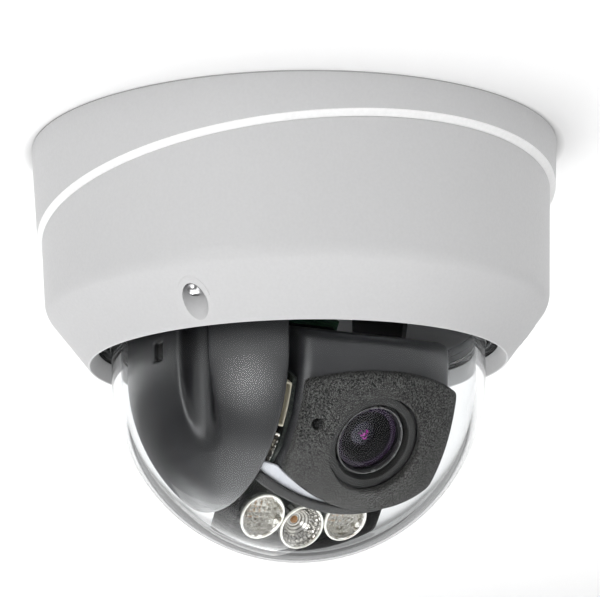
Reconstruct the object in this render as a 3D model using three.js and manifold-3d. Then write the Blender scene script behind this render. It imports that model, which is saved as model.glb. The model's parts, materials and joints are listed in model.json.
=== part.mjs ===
// A ceiling dome security camera: base housing, slanted cover with a clear dome, and inside it a
// pan stage, a tilt stage and a varifocal lens with its infra-red lamps.
// Millimetres, +Z up. The origin is the centre of the face that meets the ceiling, so the camera
// hangs below z = 0, and its front is -Y. An azimuth is counted from the front towards +X.
import * as THREE from "three";
import { mergeVertices } from "three/addons/utils/BufferGeometryUtils.js";
import Module from "manifold-3d";

const wasm = await Module();
wasm.setup();

// ---- Driving dimensions ----

const GAP = 0.3; // clearance between pieces that touch on the real object

// Outer body
const BODY_STEPS = 60; // facets round it
const RIM_RADIUS = 75; // base housing at the ceiling
const BASE_TAPER = 0.065; // radius lost for each millimetre down
const PLATE = 3.5; // ceiling plate
const WALL_INNER_RADIUS = 67.5;
const PARTING_Z = -21.4; // slanted joint between base and cover, on the axis
const PARTING_SLOPE = 0.1545; // the joint rises towards the front
const STEP_WIDTH = 1.2; // sloping edge of the base above the joint
const STEP_HEIGHT = 1.15;
const COVER_RADIUS = 71.2; // cover wall where it turns into the cone
const COVER_TAPER = 0.04;
const CORNER_Z = -46.5;
const CORNER_RADIUS = 8;
const OPENING_RADIUS = 58.8; // lower edge of the cone
const OPENING_Z = -62.9;
const SEAT_RADIUS = 56.2; // top of the bevelled opening wall
const SEAT_Z = -57.3;
const SHELF_Z = -53.6; // top of the dome's flange and of the shelf beside it
const SHELF_RADIUS = 62.6;

// Clear dome
const DOME_Z = -65; // centre of its sphere, and of the tilt axis
const DOME_RADIUS = 52.5;
const DOME_WALL = 2.6;
const DOME_FILLET = 3.5;
const FLANGE_RADIUS = 58.3;
const FLANGE = 2.4;

// Cover screws
const SCREW_CIRCLE = 63.3;
const SCREW_AZIMUTHS = [-60, 60, 180];
const COLUMN_RADIUS = 4.6;
const POCKET_RADIUS = 3.4;
const POCKET_Z = -51.7;
const HEAD_RADIUS = 2.7;
const SHANK_RADIUS = 1.9;

// Chassis inside the base
const BOARD_Z = -14; // upper face of the main board
const BOARD = 1.6;
const CHASSIS_Z = -31.2; // upper face of the chassis plate
const CHASSIS = 2;
const CHASSIS_RADIUS = 50;
const POST_CIRCLE = 46.5;
const POST_AZIMUTHS = [0, 120, 240];
const RESET_AZIMUTH = 150;

// Pan stage
const PAN_REST = -4.3; // degrees, azimuth of the lens at rest
const TURNTABLE_RADIUS = 43;
const TURNTABLE_Z = -36; // its upper face
const TURNTABLE = 2.5;
const PIVOT_RADIUS = 6.2;
const ARM_LEFT = -29.5; // outer face of the left arm
const ARM_RIGHT = 28.6; // outer face of the right arm
const ARM = 1.5;
const SHROUD_RADIUS = 48;
const SHROUD_WALL = 2;
const SHROUD_EDGE = -26.4; // flat edge of the shroud, left of the lens
const SHROUD_RIM_Z = -64.2; // above it the shroud's wall is set back
const SHROUD_STEP = 1.4;
const GROOVE_AZIMUTH = -70.9; // of the vertical finger groove
const GROOVE_CIRCLE = 46;
const GROOVE_RADIUS = 4.4;

// Tilt stage, in its own frame: X to the lens's left or right, -Y along the lens, Z up
const TILT_REST = 34; // degrees that the lens looks down at rest
const TURRET_RADIUS = 46;
const TURRET_WALL = 1.6;
const TURRET_LEFT = -22.5;
const TURRET_RIGHT = 25.5;
const CHIN = [1.5, 26.6]; // centre of the round lower edges of turret, foam and visor
const CHIN_RADIUS = 47; // the turret's and the foam's lower edge
const VISOR_INNER = 47.3;
const VISOR_OUTER = 51.2;
const VISOR_FRONT = 47.7; // radius of the sphere that its front edge lies on
const TILT_PIN_RADIUS = 2.4;
const FOAM_RADIUS = 49;
const FOAM_HOLE = 14.3;
const SENSOR_PIN = [-18.1, 3.9]; // light sensor's hole, across and up
const LED_FACE = 23.5; // along the lens
const LED_RADIUS = 6.1;
const LED_PLACES = { left: [-13.3, -32.3], middle: [0, -35.6], right: [13.3, -32.3] };
const TRAY_RADIUS = 48.7;
const TRAY_WALL = 0.6;
const TRAY_BACK = 12.5;

// Lens
const BARREL_RADIUS = 12.6;
const BARREL_FRONT = 44.6;
const GLASS_RADIUS = 9.1;
const GLASS_FRONT = 43.4;
const CORE_RADIUS = 9.2;
const RING_RADIUS = 13.4;

// ---- Materials ----

const finish = (color, roughness, metalness = 0, opacity = 1) =>
  new THREE.MeshStandardMaterial({
    color,
    roughness,
    metalness,
    opacity,
    transparent: opacity < 1,
  });
const FINISHES = {
  paint: [0xd9dadc, 0.55],
  clear: [0xe8eef0, 0.05, 0, 0.3],
  rubber: [0x2a2a2b, 0.8],
  steel: [0xb4b6b8, 0.35, 1],
  chrome: [0xd8d8d8, 0.15, 1],
  blackPlastic: [0x1f2022, 0.4],
  greyPlastic: [0x48494c, 0.5],
  foam: [0x505052, 0.95],
  board: [0x1e5a34, 0.5],
  darkBoard: [0x161a18, 0.5],
  socket: [0xc4c4c4, 0.3, 1],
  terminal: [0x2f8a4a, 0.5],
  brass: [0xc7a457, 0.3, 1],
  optic: [0xe9eef0, 0.08, 0, 0.6],
  reflector: [0xe6e6e6, 0.1, 1],
  lensBlack: [0x151517, 0.35],
  lensGlass: [0x241a30, 0.03],
  lightPlastic: [0xe8e4d8, 0.5],
};
const colours = (name) => finish(...FINISHES[name]);

// ---- Solids ----

const degrees = THREE.MathUtils.degToRad;

// A closed geometry as a manifold-3d solid that faces out.
function solid(geometry) {
  const bare = geometry.clone();
  bare.deleteAttribute("normal");
  bare.deleteAttribute("uv");
  const merged = mergeVertices(bare, 1e-4);
  const index = merged.index.array;
  const kept = [];
  for (let i = 0; i < index.length; i += 3) {
    const [a, b, c] = [index[i], index[i + 1], index[i + 2]];
    if (a !== b && b !== c && c !== a) kept.push(a, b, c);
  }
  const build = (triangles) =>
    new wasm.Manifold(
      new wasm.Mesh({
        numProp: 3,
        vertProperties: merged.attributes.position.array,
        triVerts: new Uint32Array(triangles),
      }),
    );
  const made = build(kept);
  return made.volume() < 0 ? build(kept.reverse()) : made;
}

// A solid as a three.js geometry.
function geometryOf(body) {
  const mesh = body.getMesh();
  const positions = new Float32Array(mesh.numVert * 3);
  for (let i = 0; i < mesh.numVert; i++) {
    const start = i * mesh.numProp;
    positions.set(mesh.vertProperties.subarray(start, start + 3), i * 3);
  }
  const geometry = new THREE.BufferGeometry();
  geometry.setAttribute("position", new THREE.BufferAttribute(positions, 3));
  geometry.setIndex(new THREE.BufferAttribute(mesh.triVerts, 1));
  geometry.computeVertexNormals();
  return geometry;
}

// A body of revolution about Z. The profile is [radius, z] points, and may depend on the azimuth.
function turned(profile, steps = 36) {
  const profileAt = typeof profile === "function" ? profile : () => profile;
  const count = profileAt(0).length;
  const positions = [];
  const index = [];
  for (let i = 0; i < steps; i++) {
    const azimuth = (2 * Math.PI * i) / steps;
    for (const [r, z] of profileAt(azimuth))
      positions.push(r * Math.sin(azimuth), -r * Math.cos(azimuth), z);
    for (let j = 0; j < count; j++) {
      const next = ((i + 1) % steps) * count;
      const [a, b] = [i * count + j, i * count + ((j + 1) % count)];
      const [c, d] = [next + ((j + 1) % count), next + j];
      index.push(a, b, c, a, c, d);
    }
  }
  const geometry = new THREE.BufferGeometry();
  const attribute = new THREE.Float32BufferAttribute(positions, 3);
  geometry.setAttribute("position", attribute);
  geometry.setIndex(index);
  return solid(geometry);
}

function box([x0, y0, z0], [x1, y1, z1]) {
  const geometry = new THREE.BoxGeometry(x1 - x0, y1 - y0, z1 - z0);
  return solid(geometry.translate((x0 + x1) / 2, (y0 + y1) / 2, (z0 + z1) / 2));
}

// An outline drawn in X and Y, thickened from z = low to z = high.
function prism(outline, low, high, curveSegments = 6) {
  const settings = { depth: high - low, bevelEnabled: false, curveSegments };
  return solid(new THREE.ExtrudeGeometry(outline, settings).translate(0, 0, low));
}

// An upright cylinder or cone frustum about the point [x, y].
function post([x, y], low, high, radius, sides = 14, topRadius = radius) {
  const geometry = new THREE.CylinderGeometry(topRadius, radius, high - low, sides);
  return solid(geometry.rotateX(Math.PI / 2).translate(x, y, (low + high) / 2));
}

// Turns an upright solid so that its Z runs forward, along -Y, with its Y upright.
const forward = (body) => body.rotate([90, 0, 0]);
// Turns an upright solid so that its Z runs along X, with its X pointing back.
const sideways = (body) => body.rotate([90, 0, 90]);

const ball = (radius, across = 36, up = 20) =>
  solid(new THREE.SphereGeometry(radius, across, up).rotateX(Math.PI / 2));

const onCircle = (radius, azimuth) => [
  radius * Math.sin(degrees(azimuth)),
  -radius * Math.cos(degrees(azimuth)),
];

// Points of an arc about [x, z], from one angle to another, in degrees.
function arc([x, z], radius, from, to, steps) {
  const points = [];
  for (let i = 0; i <= steps; i++) {
    const angle = degrees(from + ((to - from) * i) / steps);
    points.push([x + radius * Math.cos(angle), z + radius * Math.sin(angle)]);
  }
  return points;
}

const joined = (bodies) => bodies.reduce((sum, body) => sum.add(body));
const without = (body, cuts) => cuts.reduce((rest, cut) => rest.subtract(cut), body);

// ---- Scene graph ----

const camera = new THREE.Group();

const panStage = new THREE.Group();
panStage.rotation.z = degrees(PAN_REST);
camera.add(panStage);

const tiltStage = new THREE.Group();
tiltStage.position.z = DOME_Z;
tiltStage.rotation.x = degrees(TILT_REST);
panStage.add(tiltStage);

function addPiece(name, body, colour, parent = camera) {
  const mesh = new THREE.Mesh(geometryOf(body), colours(colour));
  mesh.name = name;
  parent.add(mesh);
  return mesh;
}

// ---- Outer body ----

const baseRadius = (z) => RIM_RADIUS + BASE_TAPER * z;
const coverRadius = (z) => COVER_RADIUS + COVER_TAPER * (z - CORNER_Z);
const partingZ = (radius, azimuth) =>
  PARTING_Z + PARTING_SLOPE * radius * Math.cos(azimuth);

// A thick slab whose top is the slanted joint.
function underJoint() {
  const size = 60;
  const geometry = new THREE.BoxGeometry(4 * size, 4 * size, size);
  const places = geometry.attributes.position;
  const centre = PARTING_Z - size / 2;
  for (let i = 0; i < places.count; i++)
    places.setZ(i, places.getZ(i) + centre - PARTING_SLOPE * places.getY(i));
  return solid(geometry);
}

const MOUNT_HOLE_CIRCLE = 52;
const MOUNT_HOLE_AZIMUTHS = [45, 135, 225, 315];
const MOUNT_HOLE_RADIUS = 2.5;
const CABLE_HOLE = [0, 30];
const CABLE_HOLE_RADIUS = 11;
const BOARD_BOSS_RADIUS = 3.5;
const STUD_RADIUS = 1.3;
const CONDUIT_AZIMUTH = 145;
const CONDUIT_Z = -16;
const CONDUIT_RADIUS = 10; // M20 entry
const CONDUIT_FACE = 73.2; // its flat outer face, from the axis
const CONDUIT_BOSS = 12.5;

// A cylinder that lies along the conduit entry's radius.
function conduitCylinder(from, to, radius, sides = 24) {
  const bar = forward(post([0, 0], from, to, radius, sides));
  return bar.rotate([0, 0, CONDUIT_AZIMUTH]).translate([0, 0, CONDUIT_Z]);
}

function baseHousing() {
  const shell = turned((azimuth) => {
    const lip = partingZ(baseRadius(PARTING_Z), azimuth) + STEP_HEIGHT;
    const edge = baseRadius(lip) - STEP_WIDTH;
    return [
      [0, 0],
      [RIM_RADIUS, 0],
      [baseRadius(lip), lip],
      [edge, partingZ(edge, azimuth)],
      [WALL_INNER_RADIUS, partingZ(WALL_INNER_RADIUS, azimuth)],
      [WALL_INNER_RADIUS, -PLATE],
      [0, -PLATE],
    ];
  }, BODY_STEPS);
  const below = underJoint();
  const bosses = SCREW_AZIMUTHS.map((azimuth) =>
    post(onCircle(SCREW_CIRCLE, azimuth), -40, -PLATE / 2, COLUMN_RADIUS).subtract(below),
  );
  const boardBosses = POST_AZIMUTHS.map((azimuth) =>
    post(onCircle(POST_CIRCLE, azimuth), BOARD_Z + GAP, -PLATE / 2, BOARD_BOSS_RADIUS, 12),
  );
  const reach = WALL_INNER_RADIUS - 3;
  const beyond = CONDUIT_FACE + 10;
  const cuts = [
    ...SCREW_AZIMUTHS.map((azimuth) =>
      post(onCircle(SCREW_CIRCLE, azimuth), -40, -PLATE - 2, SHANK_RADIUS + GAP),
    ),
    ...POST_AZIMUTHS.map((azimuth) =>
      post(onCircle(POST_CIRCLE, azimuth), -40, -PLATE - 1, STUD_RADIUS + GAP, 12),
    ),
    ...MOUNT_HOLE_AZIMUTHS.map((azimuth) =>
      post(onCircle(MOUNT_HOLE_CIRCLE, azimuth), -PLATE - 1, 1, MOUNT_HOLE_RADIUS),
    ),
    post(CABLE_HOLE, -PLATE - 1, 1, CABLE_HOLE_RADIUS, 24),
    conduitCylinder(reach - 10, beyond, CONDUIT_RADIUS),
    conduitCylinder(CONDUIT_FACE, beyond, CONDUIT_BOSS),
  ];
  const conduitBoss = conduitCylinder(reach, CONDUIT_FACE, CONDUIT_BOSS);
  return without(joined([shell, ...bosses, ...boardBosses, conduitBoss]), cuts);
}

// The blanking plug has a slot for a coin.
function conduitPlug() {
  const plug = conduitCylinder(WALL_INNER_RADIUS - 3, CONDUIT_FACE - 0.5, CONDUIT_RADIUS - GAP);
  const slot = box([-7, -CONDUIT_FACE, -1.1], [7, 2.2 - CONDUIT_FACE, 1.1]);
  return plug.subtract(slot.rotate([0, 0, CONDUIT_AZIMUTH]).translate([0, 0, CONDUIT_Z]));
}

const GASKET_INNER = 68.2;
const GASKET_OUTER = 70.4;
const GASKET_DEPTH = 1.3; // of its groove below the joint

function bodyGasket() {
  return turned((azimuth) => [
    [GASKET_INNER, partingZ(GASKET_INNER, azimuth) - GAP],
    [GASKET_OUTER, partingZ(GASKET_OUTER, azimuth) - GAP],
    [GASKET_OUTER, partingZ(GASKET_OUTER, azimuth) - GASKET_DEPTH],
    [GASKET_INNER, partingZ(GASKET_INNER, azimuth) - GASKET_DEPTH],
  ]);
}

const CONE_ANGLE = Math.atan2(COVER_RADIUS - OPENING_RADIUS, CORNER_Z - OPENING_Z);
const FLANGE_CLEARANCE = 0.4;
const RING_SCREW_CIRCLE = 60.4;
const RING_SCREW_AZIMUTHS = [0, 120, 240];

// The cover's outside, from the slanted joint down to the lip of the opening.
function coverOutside(azimuth) {
  const top = coverRadius(partingZ(COVER_RADIUS, azimuth));
  const turn = THREE.MathUtils.radToDeg(CONE_ANGLE);
  const tangent = CORNER_RADIUS * Math.tan(CONE_ANGLE / 2);
  const centre = [COVER_RADIUS - CORNER_RADIUS, CORNER_Z + tangent];
  return [
    [top, partingZ(top, azimuth) - GAP],
    ...arc(centre, CORNER_RADIUS, 0, -turn, 3),
    [OPENING_RADIUS + 0.6, OPENING_Z + 0.4],
    [OPENING_RADIUS, OPENING_Z],
  ];
}

function coverProfile(azimuth) {
  const groove = GASKET_DEPTH + GAP;
  const rib = GASKET_OUTER + GAP;
  return [
    ...coverOutside(azimuth),
    [SEAT_RADIUS, SEAT_Z],
    [FLANGE_RADIUS + FLANGE_CLEARANCE, SEAT_Z],
    [FLANGE_RADIUS + FLANGE_CLEARANCE, SHELF_Z],
    [SHELF_RADIUS, SHELF_Z],
    [SHELF_RADIUS, SHELF_Z + 2.6],
    [WALL_INNER_RADIUS, CORNER_Z + 2],
    [WALL_INNER_RADIUS, partingZ(WALL_INNER_RADIUS, azimuth) - groove],
    [rib, partingZ(rib, azimuth) - groove],
    [rib, partingZ(rib, azimuth) - GAP],
  ];
}

function domeCover() {
  const shell = turned(coverProfile, BODY_STEPS);
  const bulk = turned(
    (azimuth) => [...coverOutside(azimuth), [0, OPENING_Z], [0, partingZ(0, 0) - GAP]],
    BODY_STEPS,
  );
  const columns = SCREW_AZIMUTHS.map((azimuth) =>
    post(onCircle(SCREW_CIRCLE, azimuth), SHELF_Z - 2, 0, COLUMN_RADIUS).intersect(bulk),
  );
  const cuts = SCREW_AZIMUTHS.flatMap((azimuth) => [
    post(onCircle(SCREW_CIRCLE, azimuth), OPENING_Z - 10, POCKET_Z, POCKET_RADIUS, 20),
    post(onCircle(SCREW_CIRCLE, azimuth), POCKET_Z - 1, 0, SHANK_RADIUS + GAP),
  ]);
  const screwHoles = RING_SCREW_AZIMUTHS.map((azimuth) =>
    post(onCircle(RING_SCREW_CIRCLE, azimuth), SHELF_Z - 2.7, SHELF_Z + 1, 1.2, 8),
  );
  return without(joined([shell, ...columns]), [...cuts, ...screwHoles]);
}

// A button head with a hexagonal recess, and a shank up into the base's boss.
function coverScrew(azimuth) {
  const place = onCircle(SCREW_CIRCLE, azimuth);
  const headTop = POCKET_Z - GAP;
  const bossDepth = 8;
  const top = PARTING_Z - PARTING_SLOPE * place[1] + bossDepth;
  const head = post(place, headTop - 2.8, headTop - 1.2, HEAD_RADIUS * 0.72, 20, HEAD_RADIUS);
  const rim = post(place, headTop - 1.2, headTop, HEAD_RADIUS, 20);
  const shank = post(place, headTop - 0.5, top, SHANK_RADIUS, 12);
  const recess = post(place, headTop - 3, headTop - 1.6, 1.1, 6);
  return joined([head, rim, shank]).subtract(recess);
}

addPiece("base_housing", baseHousing(), "paint");
addPiece("conduit_plug", conduitPlug(), "paint");
addPiece("body_gasket", bodyGasket(), "rubber");
addPiece("dome_cover", domeCover(), "paint");
SCREW_AZIMUTHS.forEach((azimuth, i) =>
  addPiece(`cover_screw_${i + 1}`, coverScrew(azimuth), "chrome"),
);

// ---- Clear dome and what clamps it ----

function clearDome() {
  const inner = DOME_RADIUS - DOME_WALL;
  const under = SHELF_Z - FLANGE;
  const fillet = [DOME_RADIUS + DOME_FILLET, under - DOME_FILLET];
  const centre = [0, DOME_Z];
  return turned(
    [
      ...arc(centre, DOME_RADIUS, -90, 0, 8),
      ...arc(fillet, DOME_FILLET, 180, 90, 2),
      [FLANGE_RADIUS, under],
      [FLANGE_RADIUS, SHELF_Z],
      [inner, SHELF_Z],
      ...arc(centre, inner, 0, -90, 8),
    ],
    36,
  );
}

const RING_Z = SHELF_Z + GAP;
const RING = 2;

function domeRetainingRing() {
  const outer = SHELF_RADIUS - GAP;
  const ring = turned([
    [55, RING_Z],
    [outer, RING_Z],
    [outer, RING_Z + RING],
    [55, RING_Z + RING],
  ]);
  const notches = SCREW_AZIMUTHS.map((azimuth) =>
    post(onCircle(SCREW_CIRCLE, azimuth), RING_Z - 1, RING_Z + RING + 1, COLUMN_RADIUS + 0.4),
  );
  const holes = RING_SCREW_AZIMUTHS.map((azimuth) =>
    post(onCircle(RING_SCREW_CIRCLE, azimuth), RING_Z - 1, RING_Z + RING + 1, 1.2, 8),
  );
  return without(ring, [...notches, ...holes]);
}

function domeRingScrew(azimuth) {
  const place = onCircle(RING_SCREW_CIRCLE, azimuth);
  const seat = RING_Z + RING + GAP;
  const head = post(place, seat, seat + 1.3, 1.8, 10);
  return head.add(post(place, SHELF_Z - 2.4, seat + 0.5, 0.9, 8));
}

function domeGasket() {
  const [low, high] = [SEAT_Z + GAP, SHELF_Z - FLANGE - GAP];
  return turned([
    [SEAT_RADIUS + 0.3, low],
    [FLANGE_RADIUS, low],
    [FLANGE_RADIUS, high],
    [SEAT_RADIUS + 0.3, high],
  ]);
}

addPiece("clear_dome", clearDome(), "clear");
addPiece("dome_gasket", domeGasket(), "rubber");
addPiece("dome_retaining_ring", domeRetainingRing(), "steel");
RING_SCREW_AZIMUTHS.forEach((azimuth, i) =>
  addPiece(`dome_ring_screw_${i + 1}`, domeRingScrew(azimuth), "steel"),
);

// ---- Main board and chassis ----

const BOARD_UNDER = BOARD_Z - BOARD;
const RESET_PLACE = onCircle(46, RESET_AZIMUTH);

function mainBoard() {
  const disc = post([0, 0], BOARD_UNDER, BOARD_Z, CHASSIS_RADIUS, 32);
  const holes = POST_AZIMUTHS.map((azimuth) =>
    post(onCircle(POST_CIRCLE, azimuth), BOARD_UNDER - 1, BOARD_Z + 1, STUD_RADIUS + GAP, 12),
  );
  return without(disc, holes);
}

// A hexagonal spacer with a stud that goes up through the board.
function boardStandoff(azimuth) {
  const place = onCircle(POST_CIRCLE, azimuth);
  const [low, high] = [CHASSIS_Z + GAP, BOARD_UNDER - GAP];
  const hexagon = post(place, low, high, 3.2, 6);
  const stud = post(place, high - 1, BOARD_Z + 6, STUD_RADIUS, 12);
  const hole = post(place, low - 1, low + 8, STUD_RADIUS + GAP, 12);
  return hexagon.add(stud).subtract(hole);
}

function chassisPlate() {
  const low = CHASSIS_Z - CHASSIS;
  const disc = post([0, 0], low, CHASSIS_Z, CHASSIS_RADIUS, 32);
  const cuts = [
    post([0, 0], low - 1, CHASSIS_Z + 1, PIVOT_RADIUS + GAP, 24),
    post(RESET_PLACE, low - 1, CHASSIS_Z + 1, 2.2, 12),
    ...POST_AZIMUTHS.map((azimuth) =>
      post(onCircle(POST_CIRCLE, azimuth), low - 1, CHASSIS_Z + 1, STUD_RADIUS + GAP, 12),
    ),
  ];
  return without(disc, cuts);
}

function chassisScrew(azimuth) {
  const place = onCircle(POST_CIRCLE, azimuth);
  const seat = CHASSIS_Z - CHASSIS - GAP;
  return post(place, seat - 1.4, seat, 2.5, 12).add(
    post(place, seat - 0.5, CHASSIS_Z + 7, STUD_RADIUS, 12),
  );
}

// The socket's mouth faces the cable hole's side of the board.
const SOCKET_LOW = [-34, -8];
const SOCKET_SIZE = [16, 20, 13];
const SOCKET_WALL = 1.6;
const SOCKET_PORT_DEPTH = 15;

function networkSocket() {
  const high = BOARD_UNDER - GAP;
  const [x0, y0] = SOCKET_LOW;
  const [width, depth, height] = SOCKET_SIZE;
  const body = box([x0, y0, high - height], [x0 + width, y0 + depth, high]);
  const port = box(
    [x0 + SOCKET_WALL, y0 + depth - SOCKET_PORT_DEPTH, high - height + 2],
    [x0 + width - SOCKET_WALL, y0 + depth + 1, high - 3],
  );
  return body.subtract(port);
}

// A two-way screw terminal, with a wire hole and a screw hole for each way.
function powerTerminal() {
  const high = BOARD_UNDER - GAP;
  const pitch = 5;
  const [x0, y0] = [18, 4];
  const body = box([x0, y0, high - 9], [x0 + 2 * pitch, y0 + 8, high]);
  const cuts = [0.5, 1.5].flatMap((way) => {
    const x = x0 + way * pitch;
    const wire = box([x - 1.3, y0 + 3, high - 4.6], [x + 1.3, y0 + 9, high - 2]);
    return [wire, post([x, y0 + 3.5], high - 10, high - 7, 1.5, 10)];
  });
  return without(body, cuts);
}

// A finned block over the image processor.
function heatSink() {
  const high = BOARD_UNDER - GAP;
  const [x0, y0, side] = [14, -26, 20];
  const block = box([x0, y0, high - 7], [x0 + side, y0 + side, high]);
  const fins = 5;
  const pitch = side / fins;
  const slots = [];
  for (let i = 0; i < fins - 1; i++) {
    const x = x0 + pitch * (i + 1) - 1.1;
    slots.push(box([x, y0 - 1, high - 8], [x + 2.2, y0 + side + 1, high - 2]));
  }
  return without(block, slots);
}

function resetSwitch() {
  const high = BOARD_UNDER - GAP;
  const [x, y] = RESET_PLACE;
  const body = box([x - 3, y - 3, high - 4], [x + 3, y + 3, high]);
  return body.subtract(post(RESET_PLACE, high - 5, high - 1.5, 2.1, 12));
}

// The stem sits in the switch with its travel free above it.
function resetButton() {
  const top = BOARD_UNDER - GAP - 1.5 - 0.7;
  const stem = post(RESET_PLACE, CHASSIS_Z - CHASSIS - 1.5, top, 1.6, 12);
  return stem.add(post(RESET_PLACE, CHASSIS_Z - CHASSIS - 2, CHASSIS_Z - CHASSIS - 1, 1.3, 12));
}

addPiece("main_board", mainBoard(), "board");
addPiece("network_socket", networkSocket(), "socket");
addPiece("power_terminal", powerTerminal(), "terminal");
addPiece("heat_sink", heatSink(), "steel");
addPiece("reset_switch", resetSwitch(), "blackPlastic");
addPiece("reset_button", resetButton(), "blackPlastic");
addPiece("chassis_plate", chassisPlate(), "steel");
POST_AZIMUTHS.forEach((azimuth, i) => {
  addPiece(`board_standoff_${i + 1}`, boardStandoff(azimuth), "brass");
  addPiece(`chassis_screw_${i + 1}`, chassisScrew(azimuth), "steel");
});

// ---- Pan stage ----

const TURNTABLE_UNDER = TURNTABLE_Z - TURNTABLE;
const CABLE_BORE = 4;
const NUT_LOW = CHASSIS_Z + GAP;

function panTurntable() {
  const disc = post([0, 0], TURNTABLE_UNDER, TURNTABLE_Z, TURNTABLE_RADIUS, 40);
  const tube = post([0, 0], TURNTABLE_UNDER, NUT_LOW + 4, PIVOT_RADIUS, 24);
  return disc.add(tube).subtract(post([0, 0], TURNTABLE_UNDER - 1, NUT_LOW + 5, CABLE_BORE, 16));
}

// A ring about the Z axis.
function ring(inner, outer, low, high, steps = 20) {
  return turned(
    [
      [inner, low],
      [outer, low],
      [outer, high],
      [inner, high],
    ],
    steps,
  );
}

// One cheek of the yoke: an upright plate with a round end at the tilt axis, and a foot.
function yokeArm(side, outerFace) {
  const top = TURNTABLE_UNDER - GAP;
  const [halfTop, halfEnd] = [14, 9];
  const outline = new THREE.Shape();
  outline.moveTo(halfTop, top);
  outline.lineTo(-halfTop, top);
  outline.lineTo(-halfTop, top - 8);
  outline.lineTo(-halfEnd, DOME_Z);
  outline.absarc(0, DOME_Z, halfEnd, Math.PI, 2 * Math.PI, false);
  outline.lineTo(halfTop, top - 8);
  const low = side < 0 ? outerFace : outerFace - ARM;
  const plate = sideways(prism(outline, low, low + ARM, 12));
  const inner = outerFace - side * ARM;
  const footEnd = inner - side * 7;
  const foot = box(
    [Math.min(inner, footEnd) - 0.1, -halfTop + 2, top - ARM],
    [Math.max(inner, footEnd) + 0.1, halfTop - 2, top],
  );
  const hole = sideways(post([0, DOME_Z], low - 1, low + ARM + 1, TILT_PIN_RADIUS + GAP));
  return plate.add(foot).subtract(hole);
}

// A pin with a head outside the arm, through the arm and the turret's cheek.
function tiltPin(side, armFace, cheekFace) {
  const headInner = armFace + side * GAP;
  const headOuter = headInner + side * 2;
  const tip = cheekFace - side * (TURRET_WALL - 0.1);
  const span = (a, b) => [Math.min(a, b), Math.max(a, b)];
  const head = post([0, DOME_Z], ...span(headInner, headOuter), 4.5, 6);
  const shaft = post([0, DOME_Z], ...span(headInner, tip), TILT_PIN_RADIUS);
  return sideways(head.add(shaft));
}

// A collar on the tilt pin, between an arm and the turret.
function tiltCollar(low, high, radius) {
  return sideways(ring(TILT_PIN_RADIUS + GAP, radius, low, high).translate([0, DOME_Z, 0]));
}

const SLOT_TURN = 3 - PAN_REST; // the small slot lies just in front of the camera's left side

// The side of a black sphere, cut off flat beside the turret, with a straight upper wall and a
// vertical groove that leaves it where the sphere curves in.
function sideShroud() {
  const top = TURNTABLE_UNDER - GAP;
  const groove = onCircle(GROOVE_CIRCLE, GROOVE_AZIMUTH - PAN_REST);
  const bulk = (radius, ceiling, grooveRadius) =>
    turned([
      ...arc([0, DOME_Z], radius, -90, 0, 9),
      [radius, SHROUD_RIM_Z],
      [radius - SHROUD_STEP, SHROUD_RIM_Z],
      [radius - SHROUD_STEP, ceiling],
      [0, ceiling],
    ]).subtract(post(groove, DOME_Z - SHROUD_RADIUS, top + 1, grooveRadius, 20));
  const inner = SHROUD_RADIUS - SHROUD_WALL;
  const outside = bulk(SHROUD_RADIUS, top, GROOVE_RADIUS);
  const inside = bulk(inner, top - SHROUD_WALL, GROOVE_RADIUS + SHROUD_WALL);
  const reach = 2 * SHROUD_RADIUS;
  const rightOfEdge = box([SHROUD_EDGE, -reach, -2 * reach], [reach, reach, 0]);
  const armNotch = box([ARM_LEFT - 1, -15, top - 4], [0, 15, top + 1]);
  const slotLow = [-SHROUD_RADIUS - 2, -2, DOME_Z - 1.5];
  const slotHigh = [-SHROUD_RADIUS + 6, 2, SHROUD_RIM_Z + 3];
  const slot = box(slotLow, slotHigh).rotate([0, 0, SLOT_TURN]);
  return without(outside, [inside, rightOfEdge, armNotch, slot]);
}

addPiece("pan_turntable", panTurntable(), "blackPlastic", panStage);
addPiece(
  "pan_washer",
  ring(8, 14, TURNTABLE_Z + GAP, CHASSIS_Z - CHASSIS - GAP),
  "lightPlastic",
  panStage,
);
addPiece("pan_nut", ring(PIVOT_RADIUS + GAP, 9.5, NUT_LOW, NUT_LOW + 2.5), "steel", panStage);
addPiece("yoke_arm_left", yokeArm(-1, ARM_LEFT), "blackPlastic", panStage);
addPiece("yoke_arm_right", yokeArm(1, ARM_RIGHT), "blackPlastic", panStage);
addPiece("tilt_pivot_left", tiltPin(-1, ARM_LEFT, TURRET_LEFT), "steel", panStage);
addPiece("tilt_pivot_right", tiltPin(1, ARM_RIGHT, TURRET_RIGHT), "steel", panStage);
addPiece(
  "tilt_spacer",
  tiltCollar(ARM_LEFT + ARM + GAP, TURRET_LEFT - GAP, 6),
  "lightPlastic",
  panStage,
);
addPiece(
  "tilt_washer",
  tiltCollar(TURRET_RIGHT + GAP, ARM_RIGHT - ARM - GAP, 6.5),
  "lightPlastic",
  panStage,
);
addPiece("side_shroud", sideShroud(), "blackPlastic", panStage);

// ---- Tilt stage ----

// A prism whose outline is drawn across and up, from one distance along the lens to another.
const alongLens = (outline, from, to, curveSegments) =>
  forward(prism(outline, from, to, curveSegments));
const lensRing = (inner, outer, from, to, steps) => forward(ring(inner, outer, from, to, steps));
const lensRod = (place, from, to, radius, sides, endRadius) =>
  forward(post(place, from, to, radius, sides, endRadius));

// A closed outline through [along the lens, up] points, thickened across the turret.
function acrossTurret(points, low, high) {
  const outline = new THREE.Shape(points.map(([along, up]) => new THREE.Vector2(-along, up)));
  return sideways(prism(outline, low, high));
}

const ROOF_BACK = 17; // the turret's roof starts here, its floor further forward
const FLOOR_BACK = 27;
const ROOF_SLOPE = 0.351;
const roofAt = (along) => 13 + (along + 4) * ROOF_SLOPE;

// A round bar along the lens about the centre of the chin's curves.
const chinBar = (radius, from, to) => lensRod(CHIN, from, to, radius, 96);

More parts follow.
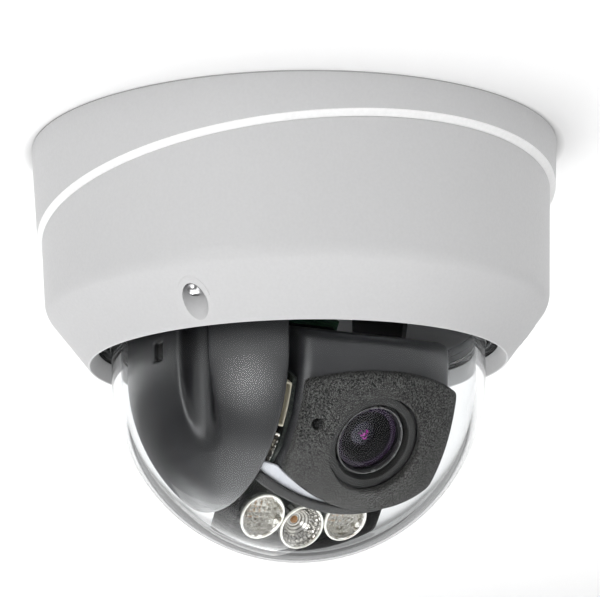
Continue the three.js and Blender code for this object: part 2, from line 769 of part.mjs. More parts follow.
function turretShell() {
  const outer = [
    [-9, -8],
    [-4, -13],
    [8, -22],
    [50, -22],
    [50, roofAt(50)],
    [-4, 13],
    [-9, 8],
  ];
  const wall = TURRET_WALL;
  const cavity = [
    [ROOF_BACK, -40],
    [50, -40],
    [50, roofAt(50) - wall],
    [ROOF_BACK, roofAt(ROOF_BACK) - wall],
  ];
  const open = [
    [-30, -40],
    [FLOOR_BACK, -40],
    [FLOOR_BACK, 0],
    [ROOF_BACK, 0],
    [ROOF_BACK, 40],
    [-30, 40],
  ];
  const [left, right] = [TURRET_LEFT + wall, TURRET_RIGHT - wall];
  const body = acrossTurret(outer, TURRET_LEFT, TURRET_RIGHT)
    .intersect(ball(TURRET_RADIUS))
    .intersect(chinBar(CHIN_RADIUS, -20, 60));
  const hollow = acrossTurret(cavity, left, right)
    .intersect(chinBar(CHIN_RADIUS - wall, -20, 60))
    .add(acrossTurret(open, left, right))
    .intersect(ball(TURRET_RADIUS - wall - 0.4));
  const pinHoles = sideways(
    post([0, 0], TURRET_LEFT - 1, TURRET_RIGHT + 1, TILT_PIN_RADIUS + GAP),
  );
  return without(body, [
    hollow,
    pinHoles,
    lensRod([0, 0], 20, 60, BARREL_RADIUS + 0.6, 24),
    lensRod(SENSOR_PIN, 30, 60, 1.3, 10),
  ]);
}

// The foam's outline: an arched top, upright sides and a sagging lower edge.
function foamOutline() {
  const outline = new THREE.Shape();
  const point = (x, y) => new THREE.Vector2(x, y);
  outline.moveTo(-22.2, -11.4);
  outline.lineTo(-22.2, 13.9);
  outline.splineThru([point(-5.3, 19.4), point(11.3, 18.6), point(25, 14.3)]);
  outline.lineTo(25.6, 5.6);
  outline.lineTo(24.8, -13.8);
  outline.splineThru([point(17.1, -17.4), point(3.2, -20), point(-7.5, -17.6)]);
  outline.lineTo(-22.2, -11.4);
  return outline;
}

function foamShield() {
  const block = alongLens(foamOutline(), 30, 60, 4);
  const layer = ball(FOAM_RADIUS).subtract(ball(TURRET_RADIUS + GAP + 0.2));
  return without(block.intersect(layer), [
    lensRod([0, 0], 20, 60, FOAM_HOLE, 24),
    lensRod(SENSOR_PIN, 30, 60, 1.3, 10),
  ]);
}

// The plate across the turret that the lens holder turns in.
function lensCradle() {
  const plate = box([TURRET_LEFT + 1.9, -1.5, -11], [TURRET_RIGHT - 1.9, 1, 11]);
  return plate.subtract(lensRod([0, 0], -3, 3, 10.3, 24));
}

// A shallow black tray under the turret, bounded below by a sphere. Its roof is a thick curved
// visor that stands out over the lamps.
function ledTray() {
  const half = 21.8;
  const rim = 27;
  const wall = 1.2;
  const floor = TRAY_BACK + 1.5;
  const side = half - wall;
  const bowl = box([-half, -rim, -60], [half, -TRAY_BACK, 0]).intersect(ball(TRAY_RADIUS));
  const visor = box([-half, -60, -26], [half + 3, -TRAY_BACK - 8, 0])
    .intersect(ball(VISOR_FRONT))
    .intersect(chinBar(VISOR_OUTER, 10, 60));
  const pocket = box([-side, -rim - 1, -60], [side, -floor, 0])
    .intersect(ball(TRAY_RADIUS - TRAY_WALL))
    .subtract(chinBar(VISOR_OUTER, 10, 60));
  return without(bowl.add(visor), [chinBar(VISOR_INNER, 0, 70), pocket]);
}

const LED_BOARD = TRAY_BACK + 1.5 + GAP; // its back face
const OPTIC_BACK = LED_BOARD + 1.4 + GAP;

function ledBoard() {
  const plate = box([-20, -LED_BOARD - 1.4, -60], [20, -LED_BOARD, -26]);
  return plate.intersect(ball(TRAY_RADIUS - TRAY_WALL - GAP));
}

// A clear collimating lens: a cone with a hollow for the emitter in its narrow end.
function ledOptic(place) {
  const neck = LED_FACE - 1.6;
  const cone = lensRod(place, OPTIC_BACK, neck, 3, 24, LED_RADIUS - 0.2);
  const rim = lensRod(place, neck, LED_FACE, LED_RADIUS, 24);
  return cone.add(rim).subtract(lensRod(place, OPTIC_BACK - 1, OPTIC_BACK + 3, 1.7, 10));
}

// A stepped mirror cup, open at the emitter.
function ledReflector([x, z]) {
  const cup = turned(
    [
      [1.8, OPTIC_BACK],
      [4.2, OPTIC_BACK],
      [LED_RADIUS, OPTIC_BACK + 3],
      [LED_RADIUS, LED_FACE],
      [LED_RADIUS - 0.6, LED_FACE],
      [4.6, LED_FACE - 3],
      [3.4, LED_FACE - 4.6],
      [1.8, OPTIC_BACK + 1.4],
    ],
    20,
  );
  return forward(cup).translate([x, 0, z]);
}

function lightSensor() {
  return lensRod(SENSOR_PIN, 38.5, 45.2, 1, 10);
}

// The small board on the turret's left cheek, in the slot beside the shroud.
const SIDE_BOARD = TURRET_LEFT - GAP; // its inner face

function connectorBoard() {
  const outline = [
    [11, -14],
    [36, -14],
    [38.5, -6],
    [38.5, 4],
    [36, 13],
    [11, 13],
  ];
  return acrossTurret(outline, SIDE_BOARD - 1, SIDE_BOARD);
}

const CONNECTOR_INNER = SIDE_BOARD - 1 - GAP;

addPiece("turret_shell", turretShell(), "greyPlastic", tiltStage);
addPiece("foam_light_shield", foamShield(), "foam", tiltStage);
addPiece("lens_cradle", lensCradle(), "steel", tiltStage);
addPiece("light_sensor", lightSensor(), "blackPlastic", tiltStage);
addPiece("led_tray", ledTray(), "blackPlastic", tiltStage);
addPiece("led_board", ledBoard(), "darkBoard", tiltStage);
addPiece("led_optic_left", ledOptic(LED_PLACES.left), "optic", tiltStage);
addPiece("led_optic_right", ledOptic(LED_PLACES.right), "optic", tiltStage);
addPiece("led_reflector", ledReflector(LED_PLACES.middle), "reflector", tiltStage);
addPiece("connector_board", connectorBoard(), "darkBoard", tiltStage);
addPiece(
  "ribbon_connector",
  box([CONNECTOR_INNER - 1.6, -34, 0], [CONNECTOR_INNER, -30, 11.5]),
  "lightPlastic",
  tiltStage,
);
addPiece(
  "card_slot",
  box([CONNECTOR_INNER - 1.8, -35, -12.5], [CONNECTOR_INNER, -22, -1.5]),
  "socket",
  tiltStage,
);

// ---- Lens ----

const HOLDER_FRONT = 4;

function lensHolder() {
  const block = box([-12, 1.3, -12], [12, 9.3, 12]);
  const neck = lensRod([0, 0], -2, 3, 10, 24);
  const flange = lensRod([0, 0], 1.8, HOLDER_FRONT, 12.5, 24);
  const bore = lensRod([0, 0], -8, 5, 7, 20);
  const window = lensRod([0, 0], -10, -7, 4.5, 16);
  return without(joined([block, neck, flange]), [bore, window]);
}

// The barrel carries the two rings on its narrow waist.
function lensBarrel() {
  const rearFace = HOLDER_FRONT + GAP;
  const [ringBack, ringFront] = [7.7, 25.3];
  return forward(
    turned(
      [
        [5, -1],
        [6.7, -1],
        [6.7, rearFace],
        [BARREL_RADIUS - 0.2, rearFace],
        [BARREL_RADIUS - 0.2, ringBack],
        [CORE_RADIUS, ringBack],
        [CORE_RADIUS, ringFront],
        [BARREL_RADIUS, ringFront],
        [BARREL_RADIUS, BARREL_FRONT - 0.8],
        [BARREL_RADIUS - 0.8, BARREL_FRONT],
        [GLASS_RADIUS + 1, BARREL_FRONT],
        [GLASS_RADIUS + GAP, BARREL_FRONT - 1.2],
        [GLASS_RADIUS + GAP, 34],
        [5, 34],
      ],
      24,
    ),
  );
}

// The front glass, with its convex outer face.
function frontElement() {
  const sag = 1.6;
  const face = (GLASS_RADIUS ** 2 + sag ** 2) / (2 * sag);
  const half = THREE.MathUtils.radToDeg(Math.asin(GLASS_RADIUS / face));
  const front = arc([0, GLASS_FRONT - face], face, 90 - half, 90, 4);
  return forward(turned([[0, 34.5], [GLASS_RADIUS, 34.5], ...front], 24));
}

// A ring of the lens with its thumb screw, which sticks out at the side.
function leverRing(from, to, leverAngle) {
  const middle = (from + to) / 2;
  const knob = post([0, 0], RING_RADIUS - 1, 18.5, 1.5, 8);
  const lever = knob.rotate([0, leverAngle, 0]).translate([0, -middle, 0]);
  return lensRing(CORE_RADIUS + GAP, RING_RADIUS, from, to, 24).add(lever);
}

addPiece("lens_holder", lensHolder(), "blackPlastic", tiltStage);
addPiece("sensor_board", box([-14, 9.6, -14], [14, 11, 14]), "board", tiltStage);
addPiece("lens_barrel", lensBarrel(), "lensBlack", tiltStage);
addPiece("front_element", frontElement(), "lensGlass", tiltStage);
addPiece("focus_ring", leverRing(8.2, 14, 120), "lensBlack", tiltStage);
addPiece("zoom_ring", leverRing(18.8, 24.8, 60), "lensBlack", tiltStage);

export default camera;
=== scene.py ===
"""Looks of a ceiling dome security camera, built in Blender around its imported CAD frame.

Shapes are drawn in millimetres, in one of three local frames: the camera's own (+Z up, the front is
-Y, an azimuth is counted from the front towards +X), the pan stage's, and the tilt stage's (X across
the turret, -Y along the lens, Z up).
"""

import json
import math
from itertools import product

import bmesh
import bpy
import numpy as np
from mathutils import Matrix, Vector


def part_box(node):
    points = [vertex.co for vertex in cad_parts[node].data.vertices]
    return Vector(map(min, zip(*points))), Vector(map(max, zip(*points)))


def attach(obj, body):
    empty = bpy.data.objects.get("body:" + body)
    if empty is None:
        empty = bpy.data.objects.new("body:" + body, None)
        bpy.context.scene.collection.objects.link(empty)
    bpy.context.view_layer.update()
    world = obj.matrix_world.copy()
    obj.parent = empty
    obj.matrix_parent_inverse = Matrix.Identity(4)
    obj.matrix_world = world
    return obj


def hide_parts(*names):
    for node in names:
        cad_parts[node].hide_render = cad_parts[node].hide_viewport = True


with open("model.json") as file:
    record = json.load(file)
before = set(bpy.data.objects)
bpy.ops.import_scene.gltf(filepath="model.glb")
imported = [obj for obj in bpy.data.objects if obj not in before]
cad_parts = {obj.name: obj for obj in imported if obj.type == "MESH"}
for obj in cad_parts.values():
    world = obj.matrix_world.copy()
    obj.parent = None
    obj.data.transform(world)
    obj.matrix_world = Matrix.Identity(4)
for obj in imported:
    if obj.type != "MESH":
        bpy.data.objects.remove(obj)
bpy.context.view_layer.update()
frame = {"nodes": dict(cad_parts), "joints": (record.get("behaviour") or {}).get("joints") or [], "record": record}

MM = 0.001
TURN = 2 * math.pi

# ---- Frames and driving dimensions, in millimetres ----

JOINTS = {joint["name"]: joint for joint in frame["joints"]}
NODES = frame["nodes"]
ACROSS = Vector(JOINTS["tilt"]["axis"]).normalized()
ALONG = Vector(JOINTS["lens_rotation"]["axis"]).normalized()
CENTRE = Vector(JOINTS["tilt"]["pos_m"])
CAMERA_FRAME = Matrix.Identity(4)


def frame_of(x_axis, y_axis, origin):
    columns = (x_axis, y_axis, x_axis.cross(y_axis))
    return Matrix.Translation(origin) @ Matrix(columns).transposed().to_4x4()


PAN_FRAME = frame_of(ACROSS, Vector((0, 0, 1)).cross(ACROSS), Vector())
TILT_FRAME = frame_of(ACROSS, -ALONG, CENTRE)


def low(node):
    """Lowest corner of a CAD node, in millimetres."""
    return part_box(node)[0] / MM


def high(node):
    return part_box(node)[1] / MM


GAP = 0.3
RIM_RADIUS = high("base_housing").x
BASE_TAPER = 0.065
PLATE = 3.5
WALL_INNER = 67.5
PARTING_Z = -21.4
PARTING_SLOPE = 0.1545
STEP_WIDTH = 1.2
STEP_HEIGHT = 1.15
COVER_RADIUS = 71.2
COVER_TAPER = 0.04
CORNER_Z = -46.5
CORNER_RADIUS = 8
OPENING_RADIUS = 58.8
OPENING_Z = low("dome_cover").z
SEAT_RADIUS = 56.2
SEAT_Z = -57.3
SHELF_Z = high("clear_dome").z
SHELF_RADIUS = 62.6
GASKET_OUTER = 70.4
GASKET_DEPTH = 1.3

DOME_Z = CENTRE.z / MM
DOME_RADIUS = DOME_Z - low("clear_dome").z
DOME_WALL = 2.6
DOME_FILLET = 3.5
FLANGE_RADIUS = high("clear_dome").x
FLANGE = 2.4

SCREW_CIRCLE = 63.3
SCREW_AZIMUTHS = (-60, 60, 180)
COLUMN_RADIUS = 4.6
POCKET_RADIUS = 3.4
POCKET_Z = -51.7
HEAD_RADIUS = 2.7
SHANK_RADIUS = 1.9
POST_CIRCLE = 46.5
POST_AZIMUTHS = (0, 120, 240)

SHROUD_RADIUS = 48
SHROUD_WALL = 2
SHROUD_EDGE = -26.4
SHROUD_TOP = high("side_shroud").z
SHROUD_RIM_Z = -64.2
GROOVE_CIRCLE = 46
GROOVE_RADIUS = 4.4
GROOVE_AZIMUTH = -66.6
SLOT_AZIMUTH = -82.7

TURRET_RADIUS = 46
TURRET_WALL = 1.6
TURRET_LEFT = -22.5
TURRET_RIGHT = 25.5
CHIN = (1.5, 26.6)
CHIN_RADIUS = 47
VISOR = (-2.9, 27.4)
VISOR_INNER = 47.3
VISOR_OUTER = 50.3
VISOR_FRONT = 47.7
FOAM_RADIUS = 49
FOAM_HOLE = 13.5
SENSOR_PIN = (-18.1, 3.9)
LED_FACE = 22.6
LED_RADIUS = 6.6
LED_PLACES = {"left": (-12.2, -33.7), "middle": (1.2, -36.5), "right": (14.5, -33.5)}
TRAY_RADIUS = 49.5
TRAY_BACK = 12.5
TRAY_RIM = 23.4
TRAY_FLOOR = TRAY_BACK + 1.5
OPTIC_BACK = TRAY_FLOOR + 2

BARREL_RADIUS = 12.6
BARREL_FRONT = 44.6
GLASS_RADIUS = 9.1
GLASS_FRONT = 43.4
CORE_RADIUS = 9.2
FLANGE_EDGE = 13.1
PUPIL = 3.6


def base_radius(z):
    return RIM_RADIUS + BASE_TAPER * z


def cover_radius(z):
    return COVER_RADIUS + COVER_TAPER * (z - CORNER_Z)


def parting_z(radius, azimuth):
    return PARTING_Z + PARTING_SLOPE * radius * math.cos(azimuth)


def on_circle(radius, azimuth):
    angle = math.radians(azimuth)
    return radius * math.sin(angle), -radius * math.cos(angle)


# ---- Mesh tools ----


def mesh_piece(name, points, faces, place, flat=False, crease=35):
    """An object with this mesh, in metres, closed and facing out."""
    mesh = bpy.data.meshes.new(name)
    mesh.from_pydata([tuple(point) for point in points], [], faces)
    made = bmesh.new()
    made.from_mesh(mesh)
    bmesh.ops.remove_doubles(made, verts=made.verts, dist=1e-4)
    bmesh.ops.recalc_face_normals(made, faces=made.faces)
    made.to_mesh(mesh)
    made.free()
    mesh.transform(place @ Matrix.Scale(MM, 4))
    piece = bpy.data.objects.new(name, mesh)
    bpy.context.scene.collection.objects.link(piece)
    if not flat:
        soften(piece, crease)
    return piece


def soften(piece, crease=35):
    """Smooth shading, except across edges sharper than crease degrees."""
    piece.data.shade_smooth()
    piece.data.set_sharp_from_angle(angle=math.radians(crease))


def arc(centre, radius, start, end, steps):
    """Points of an arc, from one angle to another, in degrees."""
    angles = np.radians(np.linspace(start, end, steps + 1))
    return [(centre[0] + radius * math.cos(a), centre[1] + radius * math.sin(a)) for a in angles]


def rounded(corners, steps=4):
    """A closed outline whose corners (x, y) or (x, y, fillet radius) are rounded off."""
    outline = []
    for i, corner in enumerate(corners):
        here = Vector(corner[:2])
        if len(corner) < 3:
            outline.append(tuple(here))
            continue
        before = (Vector(corners[i - 1][:2]) - here).normalized()
        after = (Vector(corners[(i + 1) % len(corners)][:2]) - here).normalized()
        half = before.angle(after) / 2
        reach = corner[2] / math.tan(half)
        start, end = here + before * reach, here + after * reach
        middle = here + (before + after).normalized() * (corner[2] / math.sin(half))
        for step in range(steps + 1):
            spoke = (start - middle).lerp(end - middle, step / steps).normalized()
            outline.append(tuple(middle + spoke * corner[2]))
    return outline


def turned(name, profile, place=CAMERA_FRAME, steps=96, forward=False, **shading):
    """A body of revolution about Z, or along the lens. profile is a closed outline of (radius, z), or
    a function that gives one for an azimuth."""
    profile_at = profile if callable(profile) else lambda azimuth: profile
    points = []
    for azimuth in np.arange(steps) * TURN / steps:
        sine, cosine = math.sin(azimuth), math.cos(azimuth)
        for radius, z in profile_at(azimuth):
            across, back = radius * sine, -radius * cosine
            points.append((across, -z, back) if forward else (across, back, z))
    count = len(points) // steps
    faces = []
    for i, j in product(range(steps), range(count)):
        here, beside = i * count, (i + 1) % steps * count
        above = (j + 1) % count
        faces.append((here + j, here + above, beside + above, beside + j))
    return mesh_piece(name, points, faces, place, **shading)


def post(place, bottom, top, radius, sides=48, slope=0):
    """An upright cylinder as a cutting or joining tool, about the point place. Its bottom may slope."""
    angles = np.arange(sides) * TURN / sides
    ring = [(place[0] + radius * math.cos(a), place[1] + radius * math.sin(a)) for a in angles]
    points = [(x, y, bottom - slope * y) for x, y in ring] + [(x, y, top) for x, y in ring]
    faces = [tuple(range(sides)), tuple(range(sides, 2 * sides))]
    faces += [(i, (i + 1) % sides, sides + (i + 1) % sides, sides + i) for i in range(sides)]
    return mesh_piece("tool", points, faces, CAMERA_FRAME, flat=True)


def reshape(piece, tools, operation="DIFFERENCE", crease=35):
    """Cuts the tools out of a piece, or joins them to it, and removes them."""
    for tool in tools:
        step = piece.modifiers.new(operation, "BOOLEAN")
        step.operation = operation
        step.solver = "EXACT"
        step.object = tool
    graph = bpy.context.evaluated_depsgraph_get()
    made = bpy.data.meshes.new_from_object(piece.evaluated_get(graph))
    piece.modifiers.clear()
    piece.data = made
    for tool in tools:
        bpy.data.objects.remove(tool)
    soften(piece, crease)
    return piece


# ---- Solids from distance fields ----
# A field is a function of three arrays of coordinates: negative inside the solid, positive outside.

CELL_CORNERS = list(product((0, 1), repeat=3))
CELL_EDGES = [
    (a, b)
    for a, b in product(CELL_CORNERS, repeat=2)
    if a < b and sum(i != j for i, j in zip(a, b)) == 1
]


def meet(*fields, round_by=1.0):
    """The part that all the fields share, with its edges rounded."""
    total = fields[0]
    for field in fields[1:]:
        overlap = np.maximum(round_by - np.abs(total - field), 0) / round_by
        total = np.maximum(total, field) + overlap**2 * round_by / 4
    return total


def blend(*fields, round_by=1.0):
    """The fields joined, with the creases between them filled."""
    return -meet(*[-field for field in fields], round_by=round_by)


def ball(x, y, z, radius):
    return np.sqrt(x * x + y * y + z * z) - radius


def rod(a, b, centre, radius):
    """An endless cylinder, in the plane of the coordinates a and b."""
    return np.hypot(a - centre[0], b - centre[1]) - radius


def between(value, bottom, top):
    return np.maximum(bottom - value, value - top)


def convex(a, b, corners, round_by=1.0):
    """A convex polygon's inside. Its corners run anticlockwise in the plane of a and b."""
    sides = []
    for (a0, b0), (a1, b1) in zip(corners, corners[1:] + corners[:1]):
        length = math.hypot(a1 - a0, b1 - b0)
        sides.append(((b1 - b0) * (a - a0) - (a1 - a0) * (b - b0)) / length)
    return meet(*sides, round_by=round_by)


def solid(name, field, lowest, highest, cell, place, crease=60):
    """A closed mesh on the surface of a field: one corner in each grid cell that the surface crosses,
    moved onto the surface."""
    axes = [np.arange(a - 2 * cell, b + 3 * cell, cell) for a, b in zip(lowest, highest)]
    values = field(*np.meshgrid(*axes, indexing="ij"))
    inside = values < 0
    cells = tuple(size - 1 for size in values.shape)
    count = np.zeros(cells, int)
    for shift in CELL_CORNERS:
        count += inside[tuple(slice(s, s + n) for s, n in zip(shift, cells))]
    crossed = np.argwhere((count > 0) & (count < 8))
    number = np.full(cells, -1)
    number[tuple(crossed.T)] = np.arange(len(crossed))
    total = np.zeros((len(crossed), 3))
    hits = np.zeros(len(crossed))
    for start, end in CELL_EDGES:
        first = values[tuple((crossed + start).T)]
        second = values[tuple((crossed + end).T)]
        change = (first < 0) != (second < 0)
        share = np.where(change, first / np.where(change, first - second, 1), 0)[:, None]
        total += np.where(change[:, None], np.array(start) * (1 - share) + np.array(end) * share, 0)
        hits += change
    origin = np.array([axis[0] for axis in axes])
    points = origin + (crossed + total / hits[:, None]) * cell
    points = settle(points, field, cell)
    faces = []
    for axis in range(3):
        u, v = np.eye(3, dtype=int)[[(axis + 1) % 3, (axis + 2) % 3]]
        step = np.eye(3, dtype=int)[axis]
        near = inside[tuple(slice(0, n - s) for n, s in zip(values.shape, step))]
        far = inside[tuple(slice(s, n) for n, s in zip(values.shape, step))]
        for leaves in (True, False):
            edges = np.argwhere((near == leaves) & (far != leaves))
            shifts = (-u - v, -v, 0 * u, -u)
            quad = np.stack([number[tuple((edges + shift).T)] for shift in shifts], 1)
            faces += (quad if leaves else quad[:, ::-1]).tolist()
    return mesh_piece(name, points, faces, place, crease=crease)


def settle(points, field, cell):
    """Moves points along the field's slope onto its surface, never by more than half a cell."""
    start = points.copy()
    nudge = cell / 20
    for _ in range(4):
        value = field(*points.T)
        slope = np.stack(
            [(field(*(points + nudge * way).T) - value) / nudge for way in np.eye(3)], 1
        )
        steep = np.maximum((slope**2).sum(1), 0.25)
        points = points - slope * (value / steep)[:, None]
        points = start + np.clip(points - start, -cell / 2, cell / 2)
    return points


# ---- Materials ----


def node(tree, kind, **settings):
    """A new shader node. Settings name its properties, or its input sockets by their lower-case names."""
    made = tree.nodes.new("ShaderNode" + kind)
    sockets = {s.name.lower().replace(" ", "_"): s for s in reversed(made.inputs)}
    for name, value in settings.items():
        if isinstance(value, bpy.types.NodeSocket):
            tree.links.new(value, sockets[name])
        elif hasattr(made, name):
            setattr(made, name, value)
        else:
            sockets[name].default_value = value
    return made


def rgba(colour):
    return (*colour, 1)


def noise(tree, scale, detail=3):
    """A noise pattern's value over the piece, with scale counted per metre."""
    place = node(tree, "TexCoord").outputs["Object"]
    return node(tree, "TexNoise", vector=place, scale=scale, detail=detail).outputs[0]


def spread(tree, value, start, end, from_min=0.3, from_max=0.7):
    """Maps a pattern's value to numbers from start to end."""
    ends = {"from_min": from_min, "from_max": from_max, "to_min": start, "to_max": end}
    return node(tree, "MapRange", value=value, **ends).outputs["Result"]


def two_colours(tree, share, first, second):
    mix = node(tree, "Mix", data_type="RGBA", factor=share)
    mix.inputs[6].default_value = rgba(first)
    mix.inputs[7].default_value = rgba(second)
    return mix.outputs[2]


def surface(
    name, colour, second, scale, roughness, grain=0, grain_scale=0, metallic=0, ends=(0.3, 0.7), **sockets
):
    """A material whose colour and roughness drift between two values with noise, over fine grain.
    grain is its depth in millimetres. The other settings are the shader's own sockets."""
    made = bpy.data.materials.new(name)
    made.use_nodes = True
    tree = made.node_tree
    shader = tree.nodes["Principled BSDF"]
    drift = noise(tree, scale)
    share = spread(tree, drift, 0, 1, *ends)
    tree.links.new(two_colours(tree, share, colour, second), shader.inputs["Base Color"])
    tree.links.new(spread(tree, drift, *roughness), shader.inputs["Roughness"])
    shader.inputs["Metallic"].default_value = metallic
    for socket, value in sockets.items():
        shader.inputs[socket.replace("_", " ").title().replace("Ior", "IOR")].default_value = value
    if grain:
        height = noise(tree, grain_scale, detail=2)
        bump = node(tree, "Bump", height=height, distance=grain * MM, strength=1)
        tree.links.new(bump.outputs[0], shader.inputs["Normal"])
    return made


def clear_when(made, kind, output):
    """Makes a material clear wherever the named output of a new node is on."""
    tree = made.node_tree
    mix = node(tree, "MixShader")
    tree.links.new(node(tree, kind).outputs[output], mix.inputs[0])
    tree.links.new(tree.nodes["Principled BSDF"].outputs[0], mix.inputs[1])
    tree.links.new(node(tree, "BsdfTransparent").outputs[0], mix.inputs[2])
    tree.links.new(mix.outputs[0], tree.nodes["Material Output"].inputs["Surface"])
    return made


def lamps_pass(made):
    """Lets the light of lamps through a glass, so that what is behind it is lit."""
    return clear_when(made, "LightPath", "Is Shadow Ray")


def board_finish(name, mask, copper):
    """Solder mask over straight copper tracks."""
    made = surface(name, mask, mask, 400, (0.3, 0.42), specular_ior_level=0.5)
    tree = made.node_tree
    shader = tree.nodes["Principled BSDF"]
    place = node(tree, "TexCoord").outputs["Object"]
    tracks = node(tree, "TexBrick", vector=place, scale=450, mortar_size=0.03, brick_width=1.7)
    share = spread(tree, tracks.outputs["Fac"], 0, 0.6, 0, 1)
    tree.links.new(two_colours(tree, share, mask, copper), shader.inputs["Base Color"])
    bump = node(tree, "Bump", height=tracks.outputs["Fac"], distance=0.03 * MM, strength=0.6)
    tree.links.new(bump.outputs[0], shader.inputs["Normal"])
    return made


def grey(value):
    return (value, value, value)


def maths(tree, operation, *values):
    """A math node's result. Values are sockets or numbers."""
    made = node(tree, "Math", operation=operation)
    for socket, value in zip(made.inputs, values):
        if isinstance(value, bpy.types.NodeSocket):
            tree.links.new(value, socket)
        else:
            socket.default_value = value
    return made.outputs[0]


def vector_maths(tree, operation, place, other, output):
    """A vector node's result, for a place and a constant vector."""
    made = node(tree, "VectorMath", operation=operation)
    tree.links.new(place, made.inputs[0])
    made.inputs[1].default_value = other
    return made.outputs[output]


def from_centre(tree, centre):
    """A point's place, counted from a centre."""
    place = node(tree, "TexCoord").outputs["Object"]
    return vector_maths(tree, "SUBTRACT", place, centre, "Vector")


def along(tree, place, direction):
    """How far a point lies along a direction."""
    return vector_maths(tree, "DOT_PRODUCT", place, direction, "Value")


# Painted shade in the mirror's steps: the share of each ring and each brick that is darkened, and how dark.
RING_SHADE_WIDTH = 0.38
BRICK_SHADE_WIDTH = 0.34
STEP_SHADE_STRENGTH = 0.85


def brick_mirror(name, centre, bricks, course, smooth):
    """A silvery look with painted shade in the dark lines between steps: rings round a centre, and that
    many bricks to a ring beyond the radius smooth. course is a ring's width. Both are in millimetres."""
    made = surface(name, (0.95, 0.94, 0.9), (0.84, 0.82, 0.76), 500, (0.16, 0.26), metallic=0.7)
    tree = made.node_tree
    shader = tree.nodes["Principled BSDF"]
    place = from_centre(tree, centre)
    across, up = along(tree, place, ACROSS), along(tree, place, ACROSS.cross(-ALONG))
    square = maths(tree, "ADD", maths(tree, "MULTIPLY", across, across), maths(tree, "MULTIPLY", up, up))
    radius = maths(tree, "DIVIDE", maths(tree, "SQRT", square), course * MM)
    turn = maths(tree, "MULTIPLY", maths(tree, "ARCTAN2", across, up), bricks / TURN)
    odd = maths(tree, "MODULO", maths(tree, "FLOOR", radius), 2)
    turn = maths(tree, "ADD", turn, maths(tree, "MULTIPLY", odd, 0.5))
    ring_shade = maths(tree, "LESS_THAN", maths(tree, "FRACT", radius), RING_SHADE_WIDTH)
    brick_place = maths(tree, "FRACT", maths(tree, "ADD", turn, bricks))
    brick_shade = maths(tree, "LESS_THAN", brick_place, BRICK_SHADE_WIDTH)
    beyond = maths(tree, "GREATER_THAN", radius, smooth / course)
    brick_shade = maths(tree, "MULTIPLY", brick_shade, beyond)
    seam = maths(tree, "MULTIPLY", maths(tree, "MAXIMUM", ring_shade, brick_shade), STEP_SHADE_STRENGTH)
    # The painted step shade mixes the silvery colour towards a dark brown.
    mix = node(tree, "Mix", data_type="RGBA")
    tree.links.new(seam, mix.inputs[0])
    tree.links.new(shader.inputs["Base Color"].links[0].from_socket, mix.inputs[6])
    mix.inputs[7].default_value = rgba((0.12, 0.11, 0.09))
    tree.links.new(mix.outputs[2], shader.inputs["Base Color"])
    return made


def facet_reflection_look(name, scale):
    """A silvery look of small cells, some bright and some dark: painted reflections of facets, in the colour."""
    made = surface(name, (0.9, 0.89, 0.84), (0.8, 0.78, 0.72), 500, (0.1, 0.2), metallic=0.7)
    tree = made.node_tree
    place = node(tree, "TexCoord").outputs["Object"]
    cells = node(tree, "TexVoronoi", vector=place, scale=scale).outputs["Color"]
    parts = node(tree, "SeparateColor")
    tree.links.new(cells, parts.inputs[0])
    share = spread(tree, parts.outputs[0], 0, 1, 0.15, 0.6)
    # Painted reflections: each cell's colour runs from dark to bright.
    colour = two_colours(tree, share, (0.3, 0.27, 0.2), (1, 0.99, 0.95))
    tree.links.new(colour, tree.nodes["Principled BSDF"].inputs["Base Color"])
    return made


